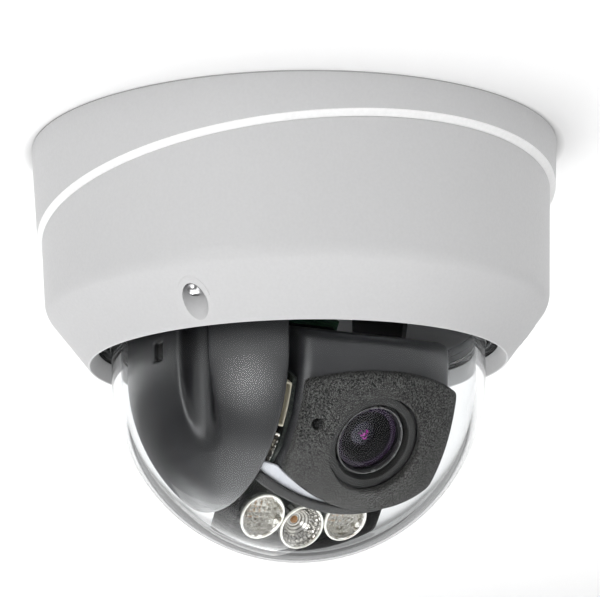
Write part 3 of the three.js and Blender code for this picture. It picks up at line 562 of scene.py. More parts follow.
LOOKS = {
    "white_paint": surface(
        "white_paint", (0.58, 0.58, 0.585), (0.56, 0.56, 0.565), 1300, (0.45, 0.6), 0.018, 1900
    ),
    "clear_dome": lamps_pass(
        surface(
            "clear_dome", (0.97, 0.98, 0.985), (0.96, 0.97, 0.975), 30, (0.0, 0.015),
            transmission_weight=1, ior=1.11, specular_ior_level=0.2,
        )
    ),
    "seal_rubber": surface("seal_rubber", grey(0.018), grey(0.03), 700, (0.6, 0.75), 0.02, 1500),
    "screw_steel": surface(
        "screw_steel", (0.72, 0.72, 0.73), (0.6, 0.6, 0.61), 900, (0.12, 0.28), 0.004, 4000, 1
    ),
    "sheet_steel": surface(
        "sheet_steel", (0.56, 0.57, 0.58), (0.47, 0.48, 0.49), 160, (0.25, 0.42), 0.006, 2500, 1
    ),
    "green_board": board_finish("green_board", (0.006, 0.045, 0.018), (0.025, 0.11, 0.035)),
    "black_board": board_finish("black_board", (0.012, 0.016, 0.014), (0.045, 0.05, 0.04)),
    "bright_metal": surface(
        "bright_metal", (0.82, 0.8, 0.76), (0.68, 0.65, 0.6), 500, (0.16, 0.3), 0.004, 3000, 1
    ),
    "terminal_plastic": surface(
        "terminal_plastic", (0.03, 0.2, 0.06), (0.02, 0.15, 0.045), 300, (0.35, 0.5), 0.01, 1800
    ),
    "heat_sink_aluminium": surface(
        "heat_sink_aluminium", grey(0.6), grey(0.5), 250, (0.35, 0.5), 0.008, 1500, 1
    ),
    "brass": surface("brass", (0.78, 0.57, 0.26), (0.66, 0.46, 0.2), 500, (0.18, 0.32), 0.004, 3000, 1),
    "black_plastic": surface(
        "black_plastic", grey(0.006), grey(0.011), 300, (0.6, 0.7), 0.012, 2200,
        specular_ior_level=0.12,
    ),
    "shroud_plastic": surface(
        "shroud_plastic", (0.004, 0.004, 0.005), (0.006, 0.006, 0.007), 120, (0.3, 0.35), 0.004, 2600,
        specular_ior_level=0.8,
    ),
    "turret_plastic": surface(
        "turret_plastic", (0.014, 0.014, 0.016), (0.019, 0.019, 0.021), 200, (0.3, 0.36), 0.001, 2600,
        specular_ior_level=0.75,
    ),
    "foam": surface(
        "foam", (0.012, 0.012, 0.0115), (0.098, 0.097, 0.094), 2150, (0.85, 1.0), 0.025, 2150,
        ends=(0.4, 0.67), specular_ior_level=0.15,
    ),
    "light_plastic": surface(
        "light_plastic", (0.62, 0.58, 0.46), (0.55, 0.51, 0.4), 250, (0.35, 0.5), 0.01, 1500
    ),
    "optic_clear": lamps_pass(
        surface(
            "optic_clear", (0.97, 0.97, 0.95), (0.95, 0.95, 0.93), 60, (0.0, 0.03),
            transmission_weight=1, ior=1.49,
        )
    ),
    "reflector_mirror": surface(
        "reflector_mirror", (0.95, 0.94, 0.9), (0.86, 0.84, 0.78), 500, (0.08, 0.18), 0.006, 1800, 0.85
    ),
    "lens_black": surface(
        "lens_black", (0.016, 0.016, 0.0155), (0.022, 0.022, 0.021), 400, (0.4, 0.5), 0.006, 2600,
        specular_ior_level=0.4,
    ),
    "lens_glass": lamps_pass(
        surface(
            "lens_glass", (0.8, 0.78, 0.85), (0.75, 0.74, 0.82), 40, (0.0, 0.01),
            transmission_weight=1, ior=1.2, specular_ior_level=0.3,
        )
    ),
}
BAFFLE = surface("baffle", grey(0.001), grey(0.002), 300, (0.7, 0.8), specular_ior_level=0.05)
BEZEL = surface("bezel", grey(0.07), grey(0.1), 500, (0.22, 0.3), 0.003, 3000, specular_ior_level=1)
# Painted glints: bright magenta patches on dark violet stand in for the coloured reflections of a lens coating.
PAINTED_COATING_GLINTS = surface(
    "coating_glints", (0.008, 0.005, 0.02), (0.7, 0.05, 0.5), 1500, (0.1, 0.16), ends=(0.5, 0.64),
    specular_ior_level=0.6,
)
# An opaque dark violet for the second element: painted shade of the lens's dark inside, tinted violet for the
# coating's reflection.
PUPIL_SHADE_LOOK = surface("pupil_glass", (0.007, 0.006, 0.01), (0.01, 0.008, 0.014), 260, (0.1, 0.16))
# Dark violet for a ring behind the front glass: partly its own dark colour, partly a painted violet reflection of
# the lens coating.
VIOLET_REFLECTION_TINT = surface("violet", (0.006, 0.001, 0.009), (0.018, 0.003, 0.022), 260, (0.2, 0.28))
# Near-white for the edge band: a painted highlight along the chamfer under the base's rim.
PAINTED_EDGE_HIGHLIGHT = surface("edge_paint", (0.93, 0.93, 0.93), (0.88, 0.88, 0.88), 900, (0.4, 0.5), 0.01, 1900)
# A pale bluish grey for the chin strip: a painted highlight where the turret's chin catches the light.
PAINTED_CHIN_HIGHLIGHT = surface("trim", (0.62, 0.63, 0.66), (0.4, 0.41, 0.44), 160, (0.25, 0.35), 0.004, 2600)
VISOR_GRAIN = surface(
    "visor_grain", grey(0.012), grey(0.03), 1500, (0.6, 0.8), 0.08, 1300, specular_ior_level=0.3
)
CREAM = surface("cream", (0.93, 0.92, 0.86), (0.86, 0.85, 0.78), 700, (0.25, 0.35), 0.004, 2600)
PAINTED_FACET_REFLECTIONS = facet_reflection_look("lamp_facets", 900)
LED_DIE = surface("led_die", (0.22, 0.09, 0.02), (0.4, 0.2, 0.06), 900, (0.3, 0.45), 0.02, 1500)


def finish_piece(piece, body, slot, *replaced, look=None):
    """Gives a piece the given look or its slot's material, and its body, and hides the CAD nodes that it stands
    for.
    """
    piece.data.materials.clear()
    piece.data.materials.append(look or LOOKS[slot])
    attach(piece, body)
    if replaced:
        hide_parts(*replaced)
    return piece


# ---- Outer body ----

CONDUIT_AZIMUTH = 145
CONDUIT_Z = -16
CONDUIT_RADIUS = 10
CONDUIT_FACE = 73.2
CONDUIT_BOSS = 12.5
STANDOFF_FOOT = -13.7
STANDOFF_RADIUS = 3.5
STANDOFF_BORE = 1.6
MOUNT_CIRCLE = 52
MOUNT_AZIMUTHS = (45, 135, 225, 315)
MOUNT_HOLE = 2.5
CABLE_PLACE = (0, 30)
CABLE_HOLE = 11
BORE_FOOT = -40
BAND_DEPTH = 1
RING_SCREW_CIRCLE = 60.4
RING_SCREW_BORE = 1.2
BODY_STEPS = 240


def conduit_bar(start, end, radius):
    """A cylinder along the conduit entry's radius."""
    bar = post((0, 0), start, end, radius, 72)
    turn = Matrix.Rotation(math.radians(CONDUIT_AZIMUTH), 4, "Z")
    turn = turn @ Matrix.Rotation(math.radians(90), 4, "X")
    bar.data.transform(Matrix.Translation((0, 0, CONDUIT_Z * MM)) @ turn)
    return bar


def base_casting():
    def profile(azimuth):
        lip = parting_z(base_radius(PARTING_Z), azimuth) + STEP_HEIGHT
        edge = base_radius(lip) - STEP_WIDTH
        return rounded(
            [
                (0, 0),
                (RIM_RADIUS, 0, 0.4),
                (base_radius(lip), lip, 0.3),
                (edge, parting_z(edge, azimuth), 0.15),
                (WALL_INNER, parting_z(WALL_INNER, azimuth)),
                (WALL_INNER, -PLATE, 1.5),
                (0, -PLATE),
            ]
        )

    casting = turned("base_casting", profile, steps=BODY_STEPS)
    inside = WALL_INNER - 3
    beyond = CONDUIT_FACE + 10
    bosses = [
        post(on_circle(SCREW_CIRCLE, a), PARTING_Z, -PLATE / 2, COLUMN_RADIUS, slope=PARTING_SLOPE)
        for a in SCREW_AZIMUTHS
    ]
    bosses += [
        post(on_circle(POST_CIRCLE, a), STANDOFF_FOOT, -PLATE / 2, STANDOFF_RADIUS) for a in POST_AZIMUTHS
    ]
    bosses.append(conduit_bar(inside, CONDUIT_FACE, CONDUIT_BOSS))
    reshape(casting, bosses, "UNION")
    screw_bore = SHANK_RADIUS + GAP
    cuts = [post(on_circle(SCREW_CIRCLE, a), BORE_FOOT, -PLATE - 2, screw_bore) for a in SCREW_AZIMUTHS]
    cuts += [post(on_circle(POST_CIRCLE, a), BORE_FOOT, -PLATE - 1, STANDOFF_BORE) for a in POST_AZIMUTHS]
    cuts += [post(on_circle(MOUNT_CIRCLE, a), -PLATE - 1, 1, MOUNT_HOLE) for a in MOUNT_AZIMUTHS]
    cuts.append(post(CABLE_PLACE, -PLATE - 1, 1, CABLE_HOLE, 72))
    cuts.append(conduit_bar(inside - 10, beyond, CONDUIT_RADIUS))
    cuts.append(conduit_bar(CONDUIT_FACE, beyond, CONDUIT_BOSS))
    reshape(casting, cuts)
    finish_piece(casting, "root", "white_paint", "base_housing")


def edge_band():
    """A bright strip that covers the joint, along the chamfer of the base's slanted edge: its whiter colour is a
    painted highlight, where the chamfer faces down towards the light.
    """

    def profile(azimuth):
        lip = parting_z(base_radius(PARTING_Z), azimuth) + STEP_HEIGHT
        foot = base_radius(lip) - STEP_WIDTH
        seam = parting_z(foot, azimuth)
        return [
            (base_radius(lip), lip + 0.25),
            (base_radius(lip) + 0.06, lip),
            (foot + 0.1, seam - 0.06),
            (foot - 0.4, seam - GAP),
            (foot - BAND_DEPTH, seam - GAP + 0.02),
            (foot - BAND_DEPTH, seam),
            (foot - 0.3, seam + 0.3),
        ]

    band = turned("edge_band", profile, steps=BODY_STEPS)
    finish_piece(band, "root", "white_paint", look=PAINTED_EDGE_HIGHLIGHT)


CONE_ANGLE = math.degrees(math.atan2(COVER_RADIUS - OPENING_RADIUS, CORNER_Z - OPENING_Z))


def cover_outside(azimuth):
    """The cover's outside, from the slanted joint down to the lip of the opening."""
    top = cover_radius(parting_z(COVER_RADIUS, azimuth))
    tangent = CORNER_RADIUS * math.tan(math.radians(CONE_ANGLE / 2))
    corner = arc((COVER_RADIUS - CORNER_RADIUS, CORNER_Z + tangent), CORNER_RADIUS, 0, -CONE_ANGLE, 12)
    return [(top, parting_z(top, azimuth) - GAP), *corner]


def cover_casting():
    def profile(azimuth):
        groove = GASKET_DEPTH + GAP
        rib = GASKET_OUTER + GAP
        flange = FLANGE_RADIUS + 0.4
        return cover_outside(azimuth) + rounded(
            [
                (OPENING_RADIUS, OPENING_Z, 0.35),
                (SEAT_RADIUS, SEAT_Z, 0.3),
                (flange, SEAT_Z),
                (flange, SHELF_Z),
                (SHELF_RADIUS, SHELF_Z),
                (SHELF_RADIUS, SHELF_Z + 2.6, 1.2),
                (WALL_INNER, CORNER_Z + 2, 3),
                (WALL_INNER, parting_z(WALL_INNER, azimuth) - groove),
                (rib, parting_z(rib, azimuth) - groove),
                (rib, parting_z(rib, azimuth) - GAP),
            ]
        )

    def bulk(azimuth):
        return cover_outside(azimuth) + [(OPENING_RADIUS, OPENING_Z), (0, OPENING_Z), (0, PARTING_Z)]

    casting = turned("cover_casting", profile, steps=BODY_STEPS)
    columns = []
    for azimuth in SCREW_AZIMUTHS:
        column = post(on_circle(SCREW_CIRCLE, azimuth), SHELF_Z - 2, 0, COLUMN_RADIUS)
        columns.append(reshape(column, [turned("bulk", bulk, steps=BODY_STEPS)], "INTERSECT"))
    reshape(casting, columns, "UNION")
    cuts = []
    for azimuth in SCREW_AZIMUTHS:
        place = on_circle(SCREW_CIRCLE, azimuth)
        cuts.append(post(place, OPENING_Z - 10, POCKET_Z, POCKET_RADIUS, 64))
        cuts.append(post(place, POCKET_Z - 1, 0, SHANK_RADIUS + GAP))
    cuts += [
        post(on_circle(RING_SCREW_CIRCLE, a), SHELF_Z - 2.7, SHELF_Z + 1, RING_SCREW_BORE)
        for a in POST_AZIMUTHS
    ]
    reshape(casting, cuts, crease=28)
    finish_piece(casting, "root", "white_paint", "dome_cover")


def cover_screw(index, azimuth):
    """A button head with a six-sided recess, on its shank."""
    place = on_circle(SCREW_CIRCLE, azimuth)
    seat = POCKET_Z - GAP
    top = high(f"cover_screw_{index}").z
    head = [(0, seat - 2.8), *arc((0.4, seat - 0.7), HEAD_RADIUS - 0.4, -85, 0, 8), (HEAD_RADIUS, seat)]
    outline = [*head, (SHANK_RADIUS, seat), (SHANK_RADIUS, top - 0.5), (SHANK_RADIUS - 0.5, top), (0, top)]
    spot = Matrix.Translation((place[0] * MM, place[1] * MM, 0))
    screw = turned(f"button_screw_{index}", outline, spot, steps=48)
    reshape(screw, [post(place, seat - 4, seat - 1.5, 1.25, 6)])
    finish_piece(screw, "root", "screw_steel", f"cover_screw_{index}")


def dome_bubble():
    inner = DOME_RADIUS - DOME_WALL
    under = SHELF_Z - FLANGE
    fillet = (DOME_RADIUS + DOME_FILLET, under - DOME_FILLET)
    centre = (0, DOME_Z)
    outline = arc(centre, DOME_RADIUS, -90, 0, 60)
    outline += arc(fillet, DOME_FILLET, 180, 90, 10)
    outline += [(FLANGE_RADIUS, under), (FLANGE_RADIUS, SHELF_Z), (inner, SHELF_Z)]
    outline += arc(centre, inner, 0, -90, 60)
    bubble = turned("dome_bubble", outline, steps=240)
    finish_piece(bubble, "root", "clear_dome", "clear_dome")


base_casting()
edge_band()
cover_casting()
for index, azimuth in enumerate(SCREW_AZIMUTHS, 1):
    cover_screw(index, azimuth)
dome_bubble()


# ---- Pan stage ----

SLOT_HALF = 2
NOTCH_HALF = 15
NOTCH_DEPTH = 4
NOTCH_LEFT = -30.5
SHROUD_REACH = 42


def side_shroud():
    groove = on_circle(GROOVE_CIRCLE, GROOVE_AZIMUTH)
    angle = math.radians(SLOT_AZIMUTH)

    def bulk(x, y, z, inset):
        body = ball(x, y, np.minimum(z - DOME_Z, 0), SHROUD_RADIUS - inset)
        cut = -rod(x, y, groove, GROOVE_RADIUS + inset)
        return meet(body, cut, z - SHROUD_TOP + inset, round_by=2.2)

    def field(x, y, z):
        across = x * math.cos(angle) + y * math.sin(angle)
        slot = meet(np.abs(across) - SLOT_HALF, between(z, DOME_Z - 1.5, SHROUD_RIM_Z + 3), round_by=0.8)
        notch = np.maximum(np.abs(y) - NOTCH_HALF, SHROUD_TOP - NOTCH_DEPTH - z)
        notch = np.maximum(notch, NOTCH_LEFT - x)
        return meet(
            bulk(x, y, z, 0),
            -bulk(x, y, z, SHROUD_WALL),
            x - SHROUD_EDGE,
            -slot,
            -notch,
            round_by=0.7,
        )

    lowest = (-SHROUD_RADIUS, -SHROUD_REACH, DOME_Z - SHROUD_REACH)
    highest = (SHROUD_EDGE, SHROUD_REACH, SHROUD_TOP)
    shroud = solid("shroud_shell", field, lowest, highest, 0.5, PAN_FRAME)
    finish_piece(shroud, "pan", "shroud_plastic", "side_shroud")


side_shroud()


# ---- Tilt stage ----

ROOF_BACK = 17
FLOOR_BACK = 27
ROOF_SLOPE = 0.351
ROOF_START = (-4, 13)
PIVOT_BORE = 2.7
CONTACT_PITCH = 1.4


def roof_at(forward):
    return ROOF_START[1] + (forward - ROOF_START[0]) * ROOF_SLOPE


def turret_body():
    outline = [(-9, -8), (-4, -13), (8, -22), (50, -22), (50, roof_at(50)), ROOF_START, (-9, 8)]

    def field(x, y, z):
        wall = TURRET_WALL
        outer = meet(
            ball(x, y, z, TURRET_RADIUS),
            between(x, TURRET_LEFT, TURRET_RIGHT),
            rod(x, z, CHIN, CHIN_RADIUS),
            convex(-y, z, outline, 1.5),
            round_by=3,
        )
        roof = (z - roof_at(-y) + wall) / math.hypot(1, ROOF_SLOPE)
        room = meet(ROOF_BACK + y, roof, rod(x, z, CHIN, CHIN_RADIUS - wall))
        back = np.minimum(np.maximum(-y - FLOOR_BACK, z), -y - ROOF_BACK)
        hollow = meet(
            blend(room, back),
            between(x, TURRET_LEFT + wall, TURRET_RIGHT - wall),
            ball(x, y, z, TURRET_RADIUS - wall - 0.4),
        )
        lens = np.maximum(rod(x, z, (0, 0), BARREL_RADIUS + 0.6), y)
        sensor = np.maximum(rod(x, z, SENSOR_PIN, 1.3), y)
        return meet(outer, -hollow, -rod(y, z, (0, 0), PIVOT_BORE), -lens, -sensor, round_by=0.6)

    turret = solid(
        "turret_body", field, (TURRET_LEFT, -46, -22), (TURRET_RIGHT, 10, 32), 0.45, TILT_FRAME
    )
    finish_piece(turret, "tilt", "turret_plastic", "turret_shell")


def circle_through(a, b, c):
    """Centre and radius of the circle through three points."""
    (ax, az), (bx, bz), (cx, cz) = a, b, c
    rows = np.array([[bx - ax, bz - az], [cx - ax, cz - az]])
    sums = np.array([bx**2 + bz**2 - ax**2 - az**2, cx**2 + cz**2 - ax**2 - az**2]) / 2
    centre = np.linalg.solve(rows, sums)
    return centre, math.dist(centre, a)


FOAM_CROWN = circle_through((-22.2, 13.9), (2, 19.8), (25, 14.3))
FOAM_SAG = circle_through((-22.2, -11.4), (3.2, -20), (24.8, -13.8))


def chin_trim():
    """A pale strip on the turret, between the lower edge of the foam and the chin: a painted highlight, where the
    chin curves down towards the light.
    """

    def field(x, y, z):
        layer = meet(ball(x, y, z, TURRET_RADIUS + 0.3), -ball(x, y, z, TURRET_RADIUS - 0.7), round_by=0.2)
        strip = meet(-rod(x, z, *FOAM_SAG), rod(x, z, VISOR, VISOR_INNER), between(x, -25.9, 6), round_by=0.4)
        return meet(layer, strip, z + np.where(x < TURRET_LEFT, 11.3, 0), y, round_by=0.4)

    trim = solid("chin_trim", field, (-26, -46.5, -22), (7, -33, -8), 0.3, TILT_FRAME)
    finish_piece(trim, "tilt", "light_plastic", look=PAINTED_CHIN_HIGHLIGHT)


def foam_shield():
    def field(x, y, z):
        outline = meet(
            between(x, -22.2, 25.2), rod(x, z, *FOAM_CROWN), rod(x, z, *FOAM_SAG), round_by=1.2
        )
        layer = meet(ball(x, y, z, FOAM_RADIUS), -ball(x, y, z, TURRET_RADIUS + 0.4))
        lens_hole = rod(x, z, (0, 0), FOAM_HOLE)
        sensor_hole = rod(x, z, SENSOR_PIN, 1.5)
        return meet(outline, layer, -lens_hole, -sensor_hole, y + 20, round_by=0.7)

    shield = solid("foam_shield", field, (-23, -49, -21), (26, -33, 20), 0.4, TILT_FRAME)
    finish_piece(shield, "tilt", "foam", "foam_light_shield")


def lamp_tray():
    """The open tray under the turret, with a round hole for each lamp."""
    left, right = -21.8, 25
    wall = 1.2

    def field(x, y, z):
        bowl = meet(
            ball(x, y, z, TRAY_RADIUS),
            between(x, left, right),
            between(-y, TRAY_BACK, TRAY_RIM),
            -rod(x, z, VISOR, VISOR_OUTER - 1),
            round_by=1,
        )
        pocket = meet(
            between(x, left + wall, right - wall),
            y + TRAY_FLOOR,
            ball(x, y, z, TRAY_RADIUS - 0.6),
            -rod(x, z, VISOR, VISOR_OUTER),
            round_by=1,
        )
        lamps = [np.maximum(rod(x, z, place, LED_RADIUS + 0.15), y + 17) for place in LED_PLACES.values()]
        return meet(bowl, -pocket, *[-lamp for lamp in lamps], round_by=0.4)

    tray = solid("lamp_tray", field, (left, -24, -48), (right, -TRAY_BACK, -8), 0.4, TILT_FRAME)
    finish_piece(tray, "tilt", "black_plastic", "led_tray")


def lamp_visor():
    """The tray's roof: a thick curved band that stands out over the lamps."""

    def field(x, y, z):
        band = meet(rod(x, z, VISOR, VISOR_OUTER), -rod(x, z, VISOR, VISOR_INNER), round_by=0.8)
        ends = between(x, -25.9, 24.8)
        return meet(ball(x, y, z, VISOR_FRONT), ends, -26.5 - z, y + TRAY_BACK + 8, band, round_by=0.8)

    visor = solid("lamp_visor", field, (-26, -48, -27), (25, -20, -5), 0.4, TILT_FRAME)
    finish_piece(visor, "tilt", "black_plastic", look=VISOR_GRAIN)


def side_connector(name, bottom, top, back, slot, replaced):
    """A connector at the front edge of the board on the turret's left cheek, open to the front and
    grooved along its left side."""

    def field(x, y, z):
        shell = meet(
            between(x, -25.7, -24.1), between(z, bottom, top), ball(x, y, z, 45.4), y + back, round_by=0.3
        )
        groove = np.abs(z % CONTACT_PITCH - CONTACT_PITCH / 2) - CONTACT_PITCH / 4
        grooves = np.maximum(groove, x + 25.3)
        mouth = meet(between(x, -25.3, -24.4), between(z, bottom + 0.6, top - 0.6), round_by=0.2)
        recess = np.maximum(mouth, -ball(x, y, z, 43.6))
        return np.maximum(np.maximum(shell, -grooves), -recess)

    piece = solid(name, field, (-26, -39, bottom), (-24, -back, top), 0.2, TILT_FRAME)
    finish_piece(piece, "tilt", slot, replaced)


turret_body()
chin_trim()
foam_shield()
lamp_tray()
lamp_visor()
side_connector("ribbon_socket", -0.5, 11.5, 30, "light_plastic", "ribbon_connector")
side_connector("card_shell", -13, -2.5, 22, "bright_metal", "card_slot")


# ---- Infra-red lamps ----

CUP_FLOOR = 0.6


def at(place):
    """The tilt stage's frame, moved to a place across and up."""
    return TILT_FRAME @ Matrix.Translation((place[0] * MM, 0, place[1] * MM))


def clear_lamp(side):
    """A moulded lens with small pillows over its face, in a bright faceted cup over the emitter."""
    place = at(LED_PLACES[side])
    face = LED_FACE
    pillow_pitch = 1.7

    def profile(azimuth):
        points = [(0, face - 2.2), (LED_RADIUS - 0.9, face - 2.2), (LED_RADIUS - 0.9, face - 0.5)]
        for radius in np.linspace(LED_RADIUS - 1.1, 0, 16):
            across, up = radius * math.sin(azimuth), radius * math.cos(azimuth)
            bend = math.pi / pillow_pitch
            pillow = abs(math.cos(across * bend) * math.cos(up * bend))
            points.append((radius, face - 1 + 0.75 * pillow))
        return points

    lens = turned(f"lamp_lens_{side}", profile, place, 96, forward=True, crease=20)
    finish_piece(lens, "tilt", "optic_clear", f"led_optic_{side}")
    foot = OPTIC_BACK + CUP_FLOOR
    depth = face - 3 - OPTIC_BACK
    wall = [(1.9 + (LED_RADIUS - 3) * t**0.6, foot + depth * t) for t in np.linspace(0, 1, 7)]
    cup = [
        *wall,
        (LED_RADIUS - 0.8, face - 0.1),
        (LED_RADIUS - 0.3, face),
        (LED_RADIUS, face - 0.4),
        (LED_RADIUS, face - 1.8),
        (LED_RADIUS - 0.3, face - 2),
        (3.2, OPTIC_BACK),
        (0, OPTIC_BACK),
        (0, foot),
    ]
    # The cup's facets are flat-shaded, with bright and dark reflections painted into their colour.
    holder = turned(f"lamp_cup_{side}", cup, place, 22, forward=True, flat=True)
    finish_piece(holder, "tilt", "reflector_mirror", look=PAINTED_FACET_REFLECTIONS)
    lamp_rim(side)
    emitter(side)


def lamp_rim(side):
    """The smooth pale edge of a lamp."""
    inner, outer = LED_RADIUS - 0.5, LED_RADIUS + 0.05
    outline = rounded(
        [
            (inner, LED_FACE - 0.7),
            (outer, LED_FACE - 0.7, 0.2),
            (outer, LED_FACE + 0.2, 0.3),
            (inner, LED_FACE + 0.1, 0.2),
        ]
    )
    rim = turned(f"lamp_rim_{side}", outline, at(LED_PLACES[side]), 72, forward=True)
    finish_piece(rim, "tilt", "light_plastic", look=CREAM)


def emitter(side):
    """The lamp's emitter: a small round base with a domed top."""
    place = at(LED_PLACES[side])
    back = OPTIC_BACK + CUP_FLOOR
    outline = [(0, back), (1.5, back), (1.5, back + 0.5), *arc((0, back + 0.4), 1.2, 4, 88, 8)]
    die = turned(f"lamp_die_{side}", outline + [(0, back + 1.6)], place, 24, forward=True)
    finish_piece(die, "tilt", "light_plastic", look=LED_DIE)


def mirror_lamp():
    """A cup of smooth inner rings and an outer wall stepped like brickwork."""
    place = at(LED_PLACES["middle"])
    depth = LED_FACE - 3 - OPTIC_BACK
    floor_z = OPTIC_BACK + 1.2
    rings, courses, bricks = 4, 5, 20
    inner = []
    for step in range(rings):
        radius = 2 + step * 0.55
        low_edge = floor_z + step * 0.62
        inner += [(radius, low_edge), (radius + 0.42, low_edge + 0.5)]

    def profile(azimuth):
        points = list(inner)
        for course in range(courses):
            phase = (azimuth / TURN * bricks + course % 2 / 2) % 1
            bulge = 0.4 * math.sin(math.pi * phase) ** 0.5
            start = OPTIC_BACK + depth * 0.42 + course * 0.85
            radius = 4 + course * 0.4
            edge = radius + 0.42
            points += [(radius, start), (edge - bulge, start + 0.4), (edge, start + 0.8)]
        return points + [
            (LED_RADIUS - 0.45, LED_FACE - 0.1),
            (LED_RADIUS - 0.2, LED_FACE),
            (LED_RADIUS, LED_FACE - 0.3),
            (LED_RADIUS, OPTIC_BACK + 3),
            (4.2, OPTIC_BACK),
            (0, OPTIC_BACK),
            (0, floor_z),
        ]

    cup = turned("lamp_reflector", profile, place, bricks * 8, forward=True, crease=25)
    centre = place.to_translation()
    # The reflector's look paints shade into the steps between its rings and bricks.
    bricked = brick_mirror("lamp_bricks", centre, bricks=26, course=0.7, smooth=3.6)
    finish_piece(cup, "tilt", "reflector_mirror", "led_reflector", look=bricked)
    lamp_rim("middle")
    emitter("middle")


clear_lamp("left")
clear_lamp("right")
mirror_lamp()


# ---- Lens ----


def lens_tube():
    rear = GAP + 4
    ring_back, ring_front = 7.7, 25.3
    outline = rounded(
        [
            (5, -1),
            (6.7, -1),
            (6.7, rear),
            (BARREL_RADIUS - 0.2, rear, 0.3),
            (BARREL_RADIUS - 0.2, ring_back, 0.3),
            (CORE_RADIUS, ring_back),
            (CORE_RADIUS, ring_front),
            (BARREL_RADIUS, ring_front, 0.3),
            (BARREL_RADIUS, BARREL_FRONT - 0.5, 0.1),
            (FLANGE_EDGE, BARREL_FRONT - 0.5, 0.1),
            (FLANGE_EDGE, BARREL_FRONT + 0.3, 0.25),
            (10.9, BARREL_FRONT + 0.3, 0.2),
            (10.6, BARREL_FRONT - 3, 0.2),
            (9.9, BARREL_FRONT - 3, 0.2),
            (9.75, GLASS_FRONT - 0.3, 0.1),
            (GLASS_RADIUS + 0.25, GLASS_FRONT - 0.3, 0.1),
            (GLASS_RADIUS + 0.15, 38, 0.1),
            (5, 35.5, 0.1),
        ],
        3,
    )
    tube = turned("lens_tube", outline, TILT_FRAME, 144, forward=True)
    finish_piece(tube, "lens", "lens_black", "lens_barrel")


def element(name, radius, edge, thickness, front_sag, back_sag, *replaced, look=None):
    """A glass element whose faces bulge forward by the two sags."""

    def face(sag, offset, start, end):
        bend = (radius**2 + sag**2) / (2 * sag)
        radii = np.linspace(start, end, 14)
        return [(r, offset + math.sqrt(bend**2 - r**2) - bend + sag) for r in radii]

    outline = face(front_sag, edge, radius, 0) + face(back_sag, edge - thickness, 0, radius)
    glass = turned(name, outline, TILT_FRAME, 96, forward=True)
    finish_piece(glass, "lens", "lens_glass", *replaced, look=look)


def lens_baffle():
    """The black funnel behind the front glass, which narrows to the pupil."""
    front = GLASS_FRONT - 2.1
    outline = [
        (GLASS_RADIUS, front), (PUPIL + 2, front - 1.2), (PUPIL, front - 1.7), (PUPIL - 0.1, front - 4),
        (GLASS_RADIUS, front - 4),
    ]
    funnel = turned("lens_baffle", outline, TILT_FRAME, 96, forward=True)
    finish_piece(funnel, "lens", "lens_black", look=BAFFLE)


def ring_piece(name, inner, outer, back, front, slot, look):
    """A thin round ring of the lens with softened edges."""
    outline = rounded([(inner, back), (outer, back, 0.08), (outer, front, 0.15), (inner, front, 0.1)])
    ring = turned(name, outline, TILT_FRAME, 144, forward=True)
    finish_piece(ring, "lens", slot, look=look)


lens_tube()
lens_baffle()
ring_piece("violet_ring", 7.3, 8.7, GLASS_FRONT - 2.9, GLASS_FRONT - 2.1, "lens_black", VIOLET_REFLECTION_TINT)
ring_piece("bezel_ring", GLASS_RADIUS + 0.3, 9.75, GLASS_FRONT - 0.3, GLASS_FRONT + 0.35, "lens_black", BEZEL)
element("front_glass", GLASS_RADIUS, GLASS_FRONT - 1, 0.9, 1.4, 1, "front_element")
element("second_glass", PUPIL - 0.2, 39, 1.2, 0.7, 0.4, look=PUPIL_SHADE_LOOK)
# The third element carries the painted coating glints.
element("third_glass", 1.5, 39.75, 0.3, 0.25, 0.1, look=PAINTED_COATING_GLINTS)


# ---- CAD nodes that keep their own shape ----


def carry_over():
    slots = {part["node"]: part["material_slot"] for part in frame["record"]["subparts"]}
    for name, item in NODES.items():
        if not item.hide_render:
            item.data.materials.clear()
            item.data.materials.append(LOOKS[slots[name]])


carry_over()


# ---- Ceiling, floor, light and camera ----


def flat_look(name, colour):
    return surface(name, colour, tuple(0.985 * c for c in colour), 3, (0.85, 0.95))


CEILING_REACH = 14000
SHADE_CENTRE = (2.6, 3.7, GAP)
SHADE_START = RIM_RADIUS - 4.5
SHADE_END = RIM_RADIUS + 3


def ceiling():
    """A white ceiling round the camera's rim, seen only from below, with a painted contact shadow: a dark
    line painted into its colour along the rim."""
    inner, outer = RIM_RADIUS - 0.4, CEILING_REACH
    steps = BODY_STEPS
    rings = [
        (radius * math.cos(a), radius * math.sin(a), GAP)
        for radius in (inner, outer)
        for a in np.arange(steps) * TURN / steps
    ]
    faces = [(i, (i + 1) % steps, steps + (i + 1) % steps, steps + i) for i in range(steps)]
    mesh = bpy.data.meshes.new("ceiling")
    mesh.from_pydata([[c * MM for c in point] for point in rings], [], faces)
    piece = bpy.data.objects.new("ceiling", mesh)
    bpy.context.scene.collection.objects.link(piece)
    look = flat_look("ceiling", (0.9, 0.9, 0.9))
    tree = look.node_tree
    # Painted contact shadow: the colour darkens to near black within a few millimetres of the rim, round a centre
    # set towards the back.
    reach = node(tree, "VectorMath", operation="LENGTH")
    tree.links.new(from_centre(tree, Vector(SHADE_CENTRE) * MM), reach.inputs[0])
    shade = spread(tree, reach.outputs["Value"], 0, 1, SHADE_START * MM, SHADE_END * MM)
    colours = two_colours(tree, shade, grey(0.02), grey(0.9))
    tree.links.new(colours, tree.nodes["Principled BSDF"].inputs["Base Color"])
    mesh.materials.append(clear_when(look, "NewGeometry", "Backfacing"))


def floor():
    half, depth = 6, -1.6
    corners = [(-half, -half, depth), (half, -half, depth), (half, half, depth), (-half, half, depth)]
    mesh = bpy.data.meshes.new("floor")
    mesh.from_pydata(corners, [], [(0, 1, 2, 3)])
    mesh.materials.append(flat_look("floor", (0.8, 0.8, 0.8)))
    piece = bpy.data.objects.new("floor", mesh)
    bpy.context.scene.collection.objects.link(piece)


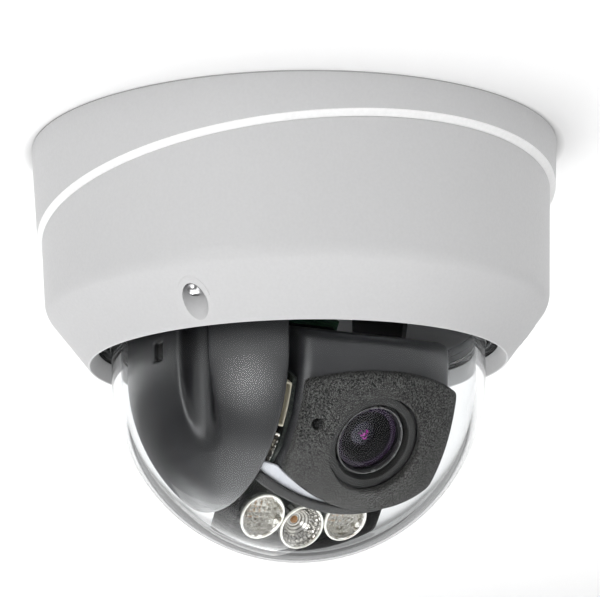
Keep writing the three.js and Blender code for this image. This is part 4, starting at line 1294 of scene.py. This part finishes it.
def softbox(name, place, size, power, faded=False):
    """A square lamp that shines at the object, or a round one that fades to its edge."""
    data = bpy.data.lights.new(name, "AREA")
    data.shape = "DISK" if faded else "SQUARE"
    data.size = size
    data.energy = power
    if faded:
        data.use_nodes = True
        tree = data.node_tree
        place_on_lamp = node(tree, "NewGeometry").outputs["Parametric"]
        reach = vector_maths(tree, "DISTANCE", place_on_lamp, (0.5, 0.5, 0), "Value")
        strength = spread(tree, reach, 3, 0, 0, 0.5)
        tree.links.new(strength, tree.nodes["Emission"].inputs["Strength"])
    lamp = bpy.data.objects.new(name, data)
    lamp.location = place
    lamp.rotation_mode = "QUATERNION"
    lamp.rotation_quaternion = (CENTRE - Vector(place)).to_track_quat("-Z", "Y")
    lamp.visible_camera = False
    bpy.context.scene.collection.objects.link(lamp)


def light():
    world = bpy.data.worlds.new("studio")
    world.use_nodes = True
    background = world.node_tree.nodes["Background"]
    background.inputs["Color"].default_value = rgba(grey(1))
    background.inputs["Strength"].default_value = 0.36
    bpy.context.scene.world = world
    softbox("below", (-0.1, 0.15, -1.4), 1.8, 17)
    softbox("front", (0.2, -1.35, -1.0), 1.3, 6)
    softbox("left", (-1.45, -0.6, -0.4), 1.3, 7.5, faded=True)
    softbox("behind", (0.3, 1.3, -1.1), 1.0, 10)
    bpy.context.scene.view_settings.view_transform = "Standard"


def camera():
    """The camera, 0.7 m in front of the dome and below it, turned round to the viewing azimuth."""
    data = bpy.data.cameras.new("camera")
    data.sensor_width = 36
    data.lens = 152.3
    azimuth = math.radians(-35.3)
    yaw, pitch, roll = 0.00114, 0.2302, -0.0198
    ahead = Vector((math.sin(yaw) * math.cos(pitch), math.cos(yaw) * math.cos(pitch), math.sin(pitch)))
    right = ahead.cross(Vector((0, 0, 1))).normalized()
    up = right.cross(ahead)
    side = right * math.cos(roll) + up * math.sin(roll)
    top = up * math.cos(roll) - right * math.sin(roll)
    place = Matrix.Translation((0, -0.7, -0.20693)) @ Matrix((side, top, -ahead)).transposed().to_4x4()
    view = bpy.data.objects.new("camera", data)
    view.matrix_world = Matrix.Rotation(azimuth, 4, "Z") @ place
    bpy.context.scene.collection.objects.link(view)
    bpy.context.scene.camera = view


ceiling()
floor()
light()
camera()
